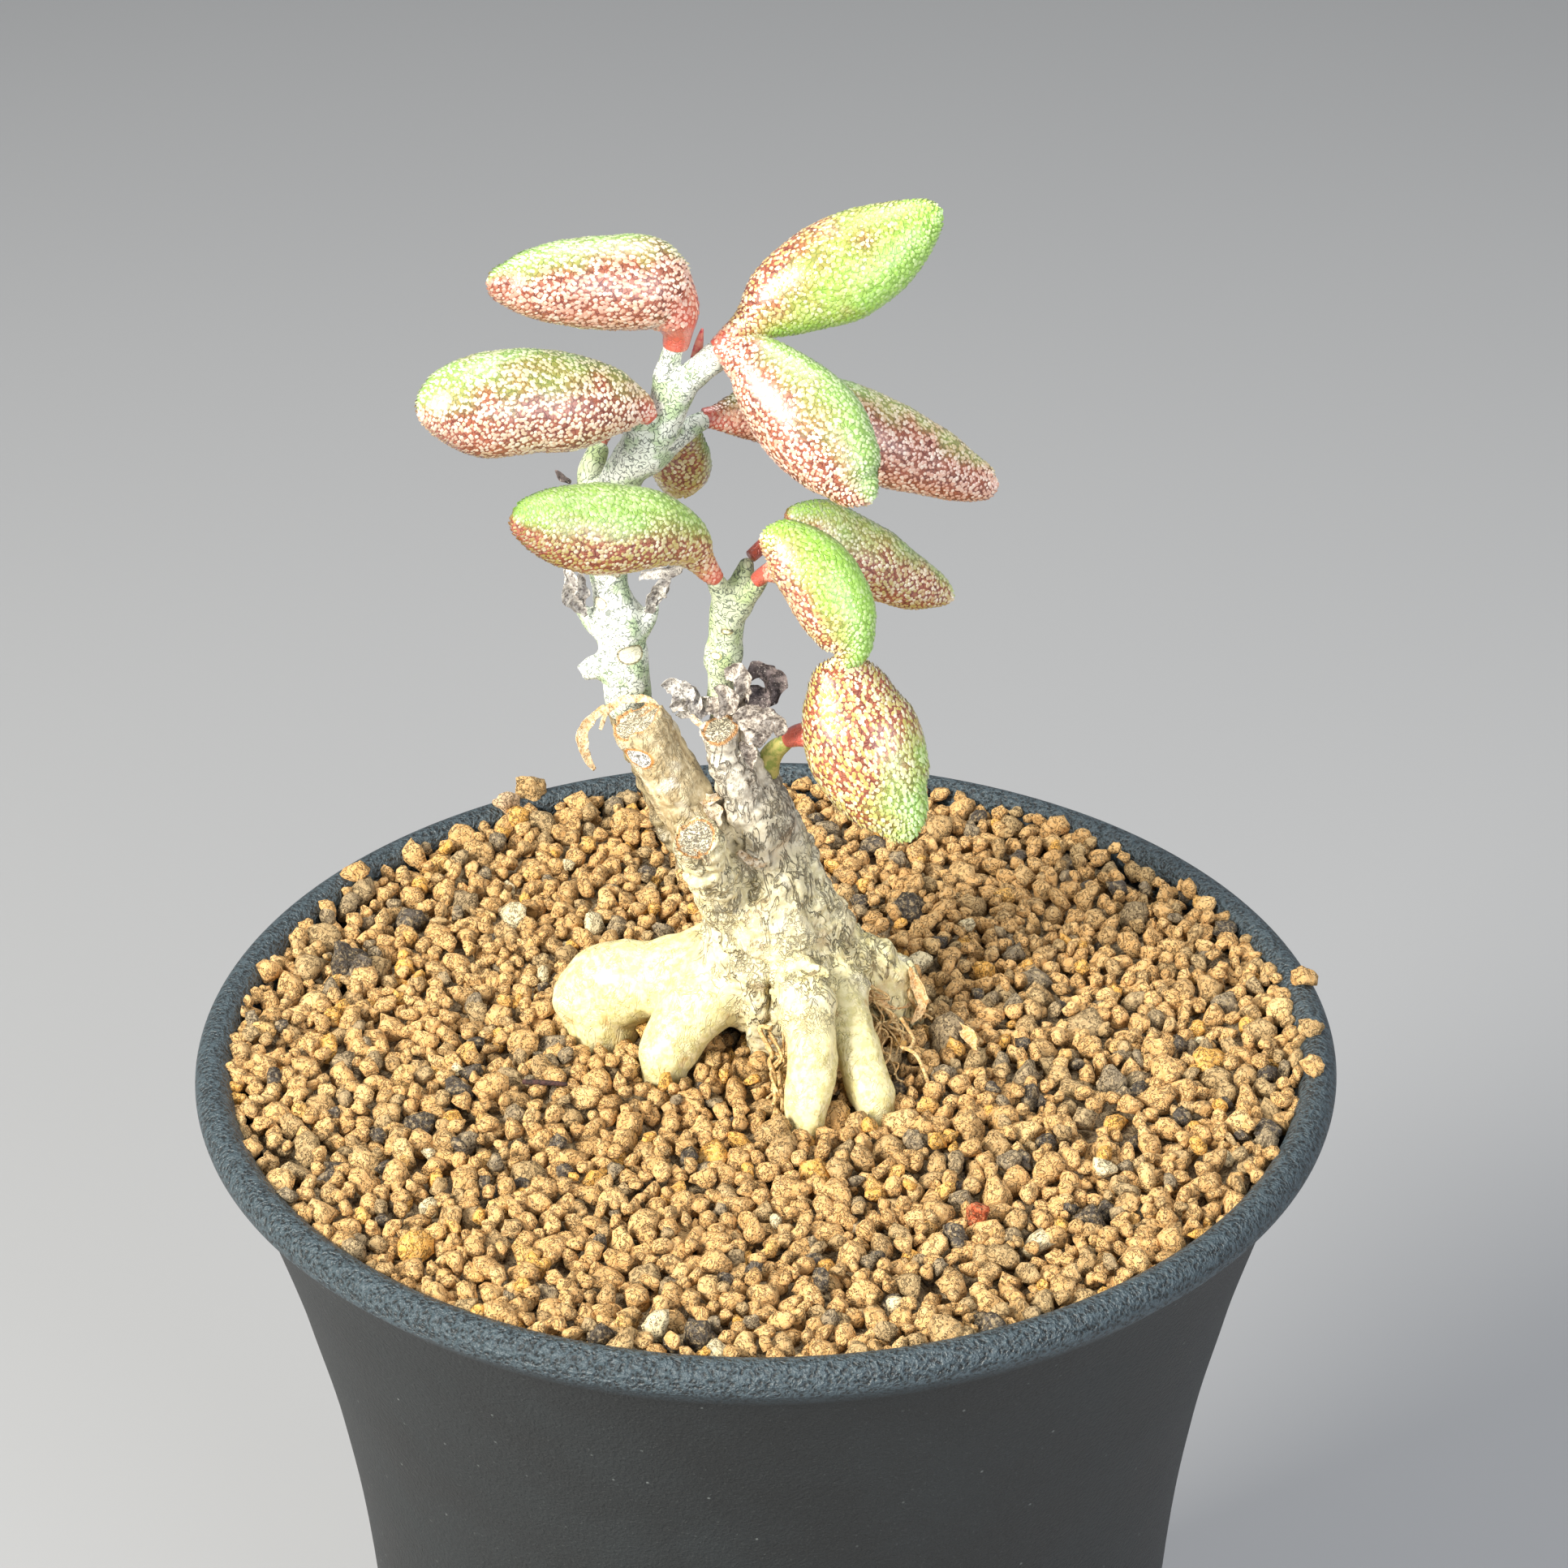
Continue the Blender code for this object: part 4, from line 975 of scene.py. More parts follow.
TALL_STEM = (
    Limb(((-10.35, 4.0, 126.9, 1.75), (-10.4, 4.0, 128.7, 1.85), (-10.6, 4.0, 130.8, 1.9),
          (-10.7, 4.0, 132.4, 1.8), (-10.7, 4.0, 133.7, 2.0), (-11.2, 4.0, 135.1, 1.65),
          (-11.5, 4.0, 136.7, 1.4), (-11.7, 4.0, 138.4, 1.4), (-11.8, 3.9, 140.8, 1.45),
          (-11.5, 3.7, 143.2, 1.5), (-10.9, 3.5, 145.0, 1.55), (-9.8, 3.2, 147.1, 1.6),
          (-8.4, 2.8, 149.3, 1.65), (-7.3, 2.5, 151.0, 1.5), (-6.4, 2.2, 152.8, 1.3),
          (-5.2, 2.0, 154.6, 1.1), (-4.2, 1.9, 155.6, 1.05), (-3.2, 1.7, 156.3, 0.95))),
    Limb(((-7.4, 2.4, 152.0, 0.9), (-7.0, 2.3, 154.3, 0.85), (-6.5, 2.1, 156.3, 0.8),
          (-6.1, 2.0, 157.6, 0.75)), fillet=0.4),
    Limb(((-8.1, 2.8, 148.1, 1.2), (-6.4, 3.4, 149.2, 0.95), (-5.1, 4.0, 150.0, 0.8),
          (-4.3, 4.3, 150.3, 0.7)), fillet=0.8),
    Limb(((-4.6, 2.5, 154.9, 0.9), (-3.4, 2.8, 156.4, 0.75)), fillet=0.5),
    Limb(((-9.2, 2.4, 149.6, 0.9), (-8.7, 1.6, 151.2, 0.7), (-8.4, 1.2, 151.9, 0.6)), fillet=0.5),
    Limb(((-7.5, 3.4, 149.3, 0.85), (-6.1, 5.6, 149.1, 0.6)), fillet=0.5),
    Limb(((-11.9, 4.0, 141.8, 1.0), (-12.7, 4.8, 143.8, 1.0), (-12.7, 5.6, 145.8, 0.95),
          (-12.2, 6.2, 147.0, 0.75)), Bark.PALE, fillet=0.6),
    Limb(((-11.5, 4.0, 133.1, 1.1), (-12.8, 4.0, 133.9, 0.85), (-13.7, 4.0, 134.9, 0.5)),
         fillet=0.5),
    Limb(((-9.8, 4.0, 133.4, 1.1), (-8.8, 4.0, 134.1, 0.8), (-8.2, 4.0, 135.2, 0.45)),
         fillet=0.5),
    Limb(((-11.5, 4.0, 130.0, 1.2), (-12.7, 3.9, 130.1, 0.95), (-13.8, 3.8, 129.6, 0.6)),
         cut=True, fillet=0.5),
)
LOW_STEM = (
    Limb(((-3.15, 0.55, 128.5, 1.15), (-3.2, 0.6, 129.8, 1.0), (-3.1, 0.7, 131.2, 1.1),
          (-3.0, 0.7, 132.4, 1.45), (-2.8, 0.7, 134.0, 1.3), (-2.6, 0.6, 135.8, 1.4),
          (-2.3, 0.5, 137.4, 1.35)), Bark.PALE),
    Limb(((-2.6, 0.2, 137.0, 1.0), (-3.2, -0.2, 138.8, 0.75), (-3.4, -0.5, 139.4, 0.65)),
         Bark.PALE, fillet=0.5),
    Limb(((-2.0, 0.7, 137.0, 1.0), (-1.3, 1.0, 139.2, 0.75), (-1.1, 1.1, 140.0, 0.6)),
         Bark.PALE, fillet=0.5),
    Limb(((-1.8, 0.2, 137.0, 1.0), (-0.5, -0.4, 139.0, 0.7), (-0.1, -0.6, 139.5, 0.55)),
         Bark.PALE, fillet=0.5),
)
SIDE_SHOOT = (Limb(((0.3, 1.6, 121.9, 0.9), (0.4, 1.2, 123.3, 0.9), (0.9, 0.9, 124.4, 0.8),
                    (1.6, 0.5, 125.2, 0.65))),)
GROWTH_TIP = (Limb(((-4.7, 3.4, 155.7, 0.4), (-4.5, 3.6, 156.5, 0.36), (-4.35, 3.7, 157.2, 0.25),
                    (-4.2, 3.7, 157.8, 0.12))),)


@dataclass
class Wood:
    """The swollen base, both netted stems, the side shoot and the red bud."""

    base: Growth = field(default_factory=lambda: Growth(KNOTTY_BASE, 0.22))
    stump_scar: tuple[float, float, float, float] = (-9.6, -3.0, 125.6, 1.2)
    leaf_scars: Knots = (
        (-10.0, 2.4, 131.9, 0.95), (-12.3, 2.8, 136.0, 0.6), (-10.6, 2.5, 138.4, 0.5),
        (-11.2, 2.6, 140.4, 0.45), (-2.6, -0.4, 135.4, 0.5), (-3.4, -0.3, 133.2, 0.45))

    @staticmethod
    def scarred(skin: Skin, scars: Knots) -> None:
        """Mark where old leaves were: 1 at a scar's middle, falling to 0 round it."""
        marks = [1 - ease(np.linalg.norm((skin.points - scar[:3]) * [1, 1, 1.3], axis=1),
                          0.6 * scar[3], 1.4 * scar[3]) for scar in np.array(scars)]
        skin.values["scar"] = np.maximum.reduce(marks)

    @staticmethod
    def bark_relief(place: np.ndarray, kind: dict[str, np.ndarray]) -> np.ndarray:
        """Lumps, and on all but the waxy roots wrinkles, rings round the limb and cracks."""
        smooth = np.clip(kind["root"] + 0.6 * kind["tan"] + 0.3 * kind["grey"], 0, 1)
        lumps = 0.2 * noise(place, 2.0, 3, 2) + (1 - smooth) * 0.28 * noise(place, 3.4, 13)
        cracks = -0.2 * (1 - np.abs(noise(place * [1, 1, 0.55], 1.1, 8, 2))) ** 7
        cracks = cracks - 0.5 * (1 - np.abs(noise(place * [1, 1, 0.7], 2.8, 21))) ** 12
        rings = 0.1 * np.sin(kind["along"] * 4.6 + 3.0 * noise(place, 2.2, 9))
        return lumps + (1 - smooth) * (
            0.14 * noise(place, 0.7, 4) + cracks + rings * (1 - kind["face"]))

    @staticmethod
    def stem_relief(place: np.ndarray, kind: dict[str, np.ndarray]) -> np.ndarray:
        """Shallow grooves and lumps."""
        return 0.09 * noise(place, 1.3, 6, 2)

    def build(self) -> None:
        """Mesh and dress every woody piece."""
        self.base.relieve(self.bark_relief, 1.1)
        skin = self.base.skin()
        self.scarred(skin, [self.stump_scar])
        skin.place("caudex_fine", OldWood().make(), "caudex", ["caudex"])
        netted = NettedStem().make()
        for name, node, limbs, step in (
                ("stem_tall_fine", "stem_tall", TALL_STEM, 0.15),
                ("stem_low_fine", "stem_low", LOW_STEM, 0.13)):
            growth = Growth(limbs, step)
            growth.relieve(self.stem_relief, 0.4)
            skin = growth.skin()
            self.scarred(skin, self.leaf_scars)
            skin.place(name, netted, "stem", [node])
        shoot = Growth(SIDE_SHOOT, 0.12).skin()
        shoot.place("side_shoot_fine", PlainSkin("shoot_skin", "8f9b4a", "c3b96c").make(),
                    "shoot", ["side_shoot"])
        bud = Growth(GROWTH_TIP, 0.08).skin()
        bud.place("growth_tip_fine", PlainSkin("bud_skin", "dd5560", "ee9a84").make(),
                  "growth_tip", ["growth_tip"])


VIEWER = (0.0, -0.88, 0.48)


@dataclass(frozen=True)
class Leaf:
    """One plump leaf with its stalk and its coat of glistening beads.

    The blade runs through knots of x, y, z and half width, its flat side to the viewer.
    A blade without a stalk of its own starts as one; a stalk runs into its blade's flank.
    """

    name: str
    blade: Knots
    slot: str
    stalk: Knots = ()
    red: float = 0.6
    lift: tuple[float, float, float] = (0.2, 0.0, 0.5)
    tipward: float = 0.3
    long_beads: float = 1.15
    flatness: float = 0.78
    stalk_share: float = 0.09
    golden: float = 0.3
    fresh: float = 0.25
    # Painted glare: a whitening of all the leaf's beads that stands in for the glare of the light.
    painted_glare: float = 0.0
    bead_area: float = 0.095

    def rows(self, knots: Knots, stations: int) -> np.ndarray:
        """Rows of centre, half width and share of length, closest together at both ends.

        The half widths are blended as squares, so an end knot of no width ends round.
        """
        squared = np.array(knots, float)
        squared[:, 3] **= 2
        dense = through(squared, 20)
        steps = np.linalg.norm(np.diff(dense[:, :3], axis=0), axis=1)
        arc = np.concatenate([[0], np.cumsum(steps)])
        share = (1 - np.cos(np.linspace(0, np.pi, stations))) / 2
        rows = np.stack([np.interp(share * arc[-1], arc, column) for column in dense.T], -1)
        rows[:, 3] = np.sqrt(np.maximum(rows[:, 3], 0.03 ** 2))
        return np.column_stack([rows, share])

    def tubes(self) -> list[tuple[np.ndarray, np.ndarray, np.ndarray]]:
        """Each tube's rings, outward directions and share of length; the blade is first."""
        spines = [(self.rows(self.blade, 56), 44, self.flatness)]
        if self.stalk:
            stalk = self.rows(self.stalk, 20)
            stalk[:, 4] = (stalk[:, 4] - 1) * 2 * self.stalk_share
            spines.append((stalk, 18, 1.0))
        made = []
        for rows, sides, flat in spines:
            rings, normals = rings_along(rows[:, :3], VIEWER, rows[:, 3], rows[:, 3] * flat, sides)
            rings = rings + normals * (0.07 * noise(rings, 1.7, 2, 2))[..., None]
            made.append((rings, normals, rows[:, 4]))
        return made

    def blushed(self, points: np.ndarray, normals: np.ndarray, share: np.ndarray) -> np.ndarray:
        """How red the skin is: less where it looks the way it is lit, and towards the tip."""
        red = self.red - normals @ np.array(self.lift) - self.tipward * (share - 0.5)
        return np.clip(0.5 + 2.0 * (red - 0.5 + 0.2 * noise(points, 1.6, 7, 2)), 0, 1)

    def stalky(self, share: np.ndarray) -> np.ndarray:
        """How much of the stalk's red the skin has: all at its start, none on the blade."""
        start = -self.stalk_share if self.stalk else 0.0
        return 1 - ease(share, start + 0.2 * self.stalk_share, start + 1.4 * self.stalk_share)

    def build(self, flesh: bpy.types.Material, glass: bpy.types.Material) -> None:
        """Mesh and dress the leaf, then its beads."""
        skins, beads = [], []
        for rings, normals, share in self.tubes():
            wide = np.broadcast_to(share[:, None], rings.shape[:2])
            skins.append(closed_grid(rings, {
                "blush": self.blushed(rings, normals, wide), "stalk": self.stalky(wide),
                "fresh": np.full(wide.shape, self.fresh)}))
            beads.append(self.beads(rings, normals, share))
        Skin.together(skins).place(f"{self.name}_fine", flesh, self.slot, [self.name])
        Skin.together(beads).place(f"{self.name}_beads", glass, self.slot)

    def beads(self, rings: np.ndarray, normals: np.ndarray, share: np.ndarray) -> Skin:
        """Glistening beads on a golden-angle spiral, evenly by area.

        Bead i stands where the area passed is (i + 0.5) / n of the whole, turned i golden
        angles by arc length round the section.
        """
        draw = np.random.default_rng(sum(map(ord, self.name)) + len(rings))
        around = np.linalg.norm(np.roll(rings, -1, 1) - rings, axis=-1)
        girth = around.sum(1)
        ahead = np.linalg.norm(np.diff(rings.mean(1), axis=0), axis=-1)
        ahead = np.hypot(ahead, np.diff(girth) / (2 * math.pi))
        area = np.concatenate([[0], np.cumsum(ahead * (girth[1:] + girth[:-1]) / 2)])
        steps = np.arange(len(area))
        bare = -0.95 * self.stalk_share if self.stalk else 0.02
        first = float(np.interp(bare, share, area))
        count = int((area[-1] - first) / self.bead_area)
        at = first + (area[-1] - first) * (np.arange(count) + 0.5) / count
        row = np.clip(np.interp(at, area, steps), 0, len(rings) - 1.001)
        arc = np.concatenate([[0], np.cumsum(around[len(rings) // 2])])
        turn = np.mod(np.arange(count) * GOLDEN_ANGLE / (2 * math.pi), 1) * arc[-1]
        column = np.interp(turn, arc, np.arange(rings.shape[1] + 1))
        column = column + draw.normal(0, 0.009, count) * rings.shape[1]
        row = np.clip(row + draw.normal(0, 0.2, count), 0, len(rings) - 1.001)
        place, normal = self.at(rings, row, column), unit(self.at(normals, row, column))
        ahead_row = np.minimum(row + 1, len(rings) - 1.001)
        tangent = unit(self.at(rings, ahead_row, column) - place + 1e-6)
        tangent = unit(tangent - normal * np.einsum("ij,ij->i", tangent, normal)[:, None])
        size = draw.uniform(0.12, 0.215, count)
        stretch = 1 + (self.long_beads - 1) * draw.uniform(0, 2, count)
        height = size * draw.uniform(0.2, 0.42, count)
        axes = np.stack([tangent * (size * stretch)[:, None],
                         np.cross(normal, tangent) * size[:, None],
                         normal * height[:, None]], axis=1)
        red = self.blushed(place, normal, np.interp(row, steps, share))
        stalk = self.stalky(np.interp(row, steps, share))
        # frost: pale beads at random, with the leaf's painted glare added on top.
        frost = draw.uniform(0, 1, count) ** 2 * (0.45 + 0.55 * red)
        shape, faces = self.dome()
        return copies(shape, faces, axes, place, {
            "blush": red, "frost": np.clip(frost + self.painted_glare, 0, 1), "stalk": stalk,
            "golden": np.full(count, self.golden), "fresh": np.full(count, self.fresh)})

    @staticmethod
    def at(grid: np.ndarray, row: np.ndarray, column: np.ndarray) -> np.ndarray:
        """Grid values at fractional rows and columns; columns wrap round."""
        low, side = row.astype(int), np.floor(column).astype(int)
        up, over = (row - low)[:, None], (column - side)[:, None]
        left, right = side % grid.shape[1], (side + 1) % grid.shape[1]
        near = grid[low, left] * (1 - over) + grid[low, right] * over
        far = grid[low + 1, left] * (1 - over) + grid[low + 1, right] * over
        return near * (1 - up) + far * up

    @staticmethod
    def dome() -> tuple[np.ndarray, list[np.ndarray]]:
        """A low dome of six triangles, its edge sunk in the leaf."""
        angle = np.arange(6) * math.pi / 3
        circle = np.stack([np.cos(angle), np.sin(angle), np.full(6, -0.25)], -1)
        here, after = np.arange(6), (np.arange(6) + 1) % 6
        return np.vstack([circle, [[0, 0, 1.0]]]), [np.stack([here, after, np.full(6, 6)], -1)]


LEAVES = (
    Leaf("leaf_top_left", (
        (-5.2, 1.9, 162.1, 0.0), (-5.7, 1.8, 162.2, 2.0), (-6.6, 1.5, 162.3, 2.9),
        (-8.4, 1.0, 162.6, 3.4), (-10.5, 0.5, 162.8, 3.4), (-13.6, -0.4, 163.2, 3.1),
        (-16.3, -1.1, 163.4, 2.45), (-17.8, -1.4, 163.5, 1.75),
        (-18.8, -1.8, 163.8, 1.05), (-19.2, -1.9, 163.9, 0.0)),
         "leaf_red",
         ((-6.1, 2.0, 157.2, 0.9), (-5.95, 1.9, 158.5, 1.2), (-6.2, 1.7, 160.0, 2.0),
          (-7.2, 1.4, 161.6, 2.7)),
         red=1.1, lift=(-0.1, 0.1, 0.8), tipward=0.25, long_beads=1.35, golden=0.15, painted_glare=0.1),
    Leaf("leaf_top_right", (
        (-3.1, 2.6, 156.7, 0.8), (-2.1, 2.8, 157.5, 1.0), (-0.5, 3.3, 158.5, 1.6),
        (1.3, 3.7, 159.9, 2.8), (3.8, 4.3, 161.2, 3.6), (6.0, 4.8, 162.0, 3.85),
        (7.9, 5.2, 162.9, 3.65), (9.6, 5.6, 163.8, 3.1), (11.8, 6.2, 165.1, 1.9),
        (12.7, 6.4, 165.6, 1.2), (13.2, 6.5, 165.8, 0.0)), "leaf_green", red=0.42, lift=(0.35, 0.0, -0.2), tipward=0.8, golden=0.6, fresh=1.0),
    Leaf("leaf_front", (
        (-3.0, 1.2, 157.7, 0.65), (-2.3, 0.8, 157.4, 1.0), (-1.3, 0.3, 157.0, 1.75),
        (-0.2, -0.3, 156.5, 2.45), (2.4, -2.0, 154.3, 3.6), (4.3, -3.3, 152.5, 3.7),
        (6.1, -4.7, 150.5, 2.9), (6.8, -5.3, 149.5, 2.05), (7.5, -5.8, 148.9, 1.3),
        (7.9, -6.0, 148.4, 0.0)),
         "leaf_red", red=0.8, lift=(0.75, 0.0, 0.35), tipward=0.3, golden=0.15, painted_glare=0.1),
    Leaf("leaf_back_right", (
        (-4.3, 4.4, 150.5, 0.7), (-3.2, 4.7, 150.4, 1.0), (-2.1, 5.0, 150.4, 1.55),
        (0.0, 5.5, 150.4, 2.3), (3.8, 6.4, 149.7, 3.15), (6.8, 7.2, 148.2, 3.35),
        (9.9, 8.0, 146.5, 3.2), (13.0, 8.8, 144.8, 2.65), (15.1, 9.3, 143.5, 2.05),
        (17.0, 9.8, 142.6, 1.4), (17.9, 10.0, 142.4, 0.0)), "leaf_red", red=1.1, lift=(0.0, 0.0, 0.75), tipward=-0.2, golden=0.1, painted_glare=0.1),
    Leaf("leaf_left", (
        (-8.0, 0.9, 152.0, 0.6), (-8.3, 0.8, 152.4, 0.8), (-8.8, 0.6, 152.9, 1.25),
        (-9.7, 0.3, 153.3, 1.95), (-11.3, -0.2, 153.8, 2.8), (-13.9, -1.1, 154.2, 3.55),
        (-16.5, -1.9, 154.7, 3.75), (-19.6, -2.9, 154.8, 3.8), (-22.0, -3.7, 155.0, 3.1),
        (-23.5, -4.2, 154.9, 2.0), (-24.4, -4.5, 154.7, 0.0)),
         "leaf_red", red=1.05, lift=(0.0, 0.0, 0.75), tipward=0.2, golden=0.4, painted_glare=0.35),
    Leaf("leaf_behind_stem", (
        (-5.8, 6.4, 149.3, 0.6), (-5.8, 6.8, 148.3, 1.35), (-6.0, 7.3, 146.7, 2.15),
        (-6.1, 7.9, 145.1, 2.35), (-6.3, 8.5, 143.7, 1.9), (-6.6, 9.0, 142.2, 0.0)),
         "leaf_red", red=0.85, lift=(0.45, 0.0, 0.1), tipward=0.0, golden=0.8),
    Leaf("leaf_hidden", (
        (-12.1, 6.5, 147.5, 0.5), (-11.6, 7.2, 148.3, 0.55), (-12.0, 7.9, 148.9, 1.1),
        (-13.4, 8.7, 149.6, 1.8), (-14.6, 9.3, 150.0, 1.4), (-15.2, 9.6, 150.2, 0.0)),
         "leaf_red", red=0.5, stalk_share=0.3),
    Leaf("leaf_low_left", (
        (-3.3, -0.8, 139.8, 0.6), (-3.9, -1.2, 140.6, 0.8), (-4.6, -1.7, 141.9, 1.15),
        (-5.5, -2.3, 143.5, 1.9), (-7.0, -3.1, 144.7, 2.55), (-8.7, -3.9, 145.4, 3.05),
        (-11.6, -5.2, 146.0, 3.35), (-13.7, -6.1, 146.6, 3.1), (-15.4, -6.9, 147.3, 2.55),
        (-16.7, -7.5, 147.8, 1.8), (-17.4, -7.9, 148.1, 1.05), (-17.7, -8.0, 148.3, 0.0)),
         "leaf_green", red=0.85, lift=(0.0, 0.0, 1.0), tipward=0.45, stalk_share=0.12, golden=0.75, fresh=0.4),
    Leaf("leaf_low_right", (
        (0.0, -2.2, 143.8, 0.0), (0.7, -2.4, 143.7, 1.3), (1.9, -2.8, 143.3, 2.2),
        (4.0, -3.7, 141.5, 2.9), (5.5, -4.6, 139.1, 2.85), (6.2, -5.2, 137.4, 2.3),
        (6.5, -5.6, 136.3, 1.6), (6.2, -6.0, 135.1, 0.0)), "leaf_green",
         ((-0.3, -0.7, 139.6, 0.6), (0.4, -1.2, 140.4, 0.7), (1.6, -2.4, 141.3, 1.0)),
         red=0.5, lift=(0.7, 0.0, 0.3), tipward=0.2, golden=0.5, fresh=0.9),
    Leaf("leaf_low_back", (
        (1.9, 3.6, 142.9, 0.0), (2.7, 3.9, 142.5, 1.35), (4.0, 4.4, 141.3, 2.5),
        (6.6, 5.3, 139.1, 2.75), (8.4, 5.9, 137.9, 2.65), (10.0, 6.5, 136.5, 2.4),
        (11.6, 7.0, 135.5, 2.05), (13.0, 7.5, 134.7, 1.5), (14.1, 7.9, 134.0, 0.8),
        (14.6, 8.0, 133.8, 0.0)), "leaf_red",
         ((-0.8, 1.5, 140.5, 0.5), (1.0, 3.1, 141.3, 0.6), (3.6, 4.4, 141.2, 1.0)),
         red=0.95, lift=(0.0, 0.0, 0.8), tipward=-0.5, golden=0.65),
    Leaf("leaf_side", (
        (5.8, 0.3, 132.5, 0.0), (5.9, 0.0, 131.7, 2.2), (6.3, -0.5, 130.3, 3.2),
        (6.8, -1.1, 128.5, 4.0), (7.4, -1.7, 127.1, 4.4), (8.0, -2.2, 125.5, 4.4),
        (8.8, -2.8, 123.9, 4.0), (9.5, -3.4, 122.5, 3.3), (10.3, -3.9, 121.2, 2.35),
        (11.0, -4.5, 119.5, 0.0)), "leaf_red",
         ((1.9, 0.3, 125.7, 0.7), (3.0, -0.4, 126.4, 0.95), (5.0, -1.4, 126.8, 1.2)),
         red=0.85, lift=(0.3, 0.0, 0.05), tipward=0.9, long_beads=1.6, golden=1.0,
         flatness=0.7, fresh=0.7),
)


@dataclass
class Foliage:
    """All eleven leaves."""

    leaves: Sequence[Leaf] = LEAVES

    def build(self) -> None:
        """Build each leaf in the two finishes that they share."""
        flesh, glass = LeafFlesh().make(), GlassyBeads().make()
        for leaf in self.leaves:
            leaf.build(flesh, glass)


@dataclass(frozen=True)
class Scrap:
    """Wizened leaves or strips of bark: thin sheets that bend, curl and crumple.

    Across its path a sheet rises by curl * v^2 of its half width, v from -1 to 1.
    """

    name: str
    sheets: Sequence[Knots]
    curl: float = 0.7
    crumple: float = 0.22
    thickness: float = 0.2

    def sheet(self, path: Knots, seed: int) -> Skin:
        """One sheet's two faces as a flattened tube, its edges ragged."""
        rows = through(path, 9)
        line = rows[:, :3]
        along = unit(np.gradient(line, axis=0))
        across = unit(np.cross(along, unit(np.array([0.2, -1.0, 0.35]))))
        out = np.cross(across, along)
        angle = np.linspace(0, 2 * math.pi, 24, endpoint=False)
        v, lift = np.cos(angle)[None, :], np.sin(angle)[None, :] * self.thickness / 2
        taper = np.sin(np.linspace(0.18, np.pi - 0.12, len(rows)))[:, None] ** 0.4
        ragged = 1 + 0.35 * noise(line[:, None] + v[..., None] * [1.0, 1.0, 1.0], 0.6, seed)
        wide = rows[:, 3:] * 1.45 * taper * ragged
        rise = self.curl * (v ** 2 - 0.4) * wide + lift
        points = line[:, None] + across[:, None] * (v * wide)[..., None] \
            + out[:, None] * rise[..., None]
        shake = np.stack([noise(points, 0.8, seed + axis, 2) for axis in range(3)], -1)
        return closed_grid(points + self.crumple * shake)

    def skin(self, seed: int) -> Skin:
        """All its sheets."""
        return Skin.together([self.sheet(path, seed + 3 * number)
                              for number, path in enumerate(self.sheets)])


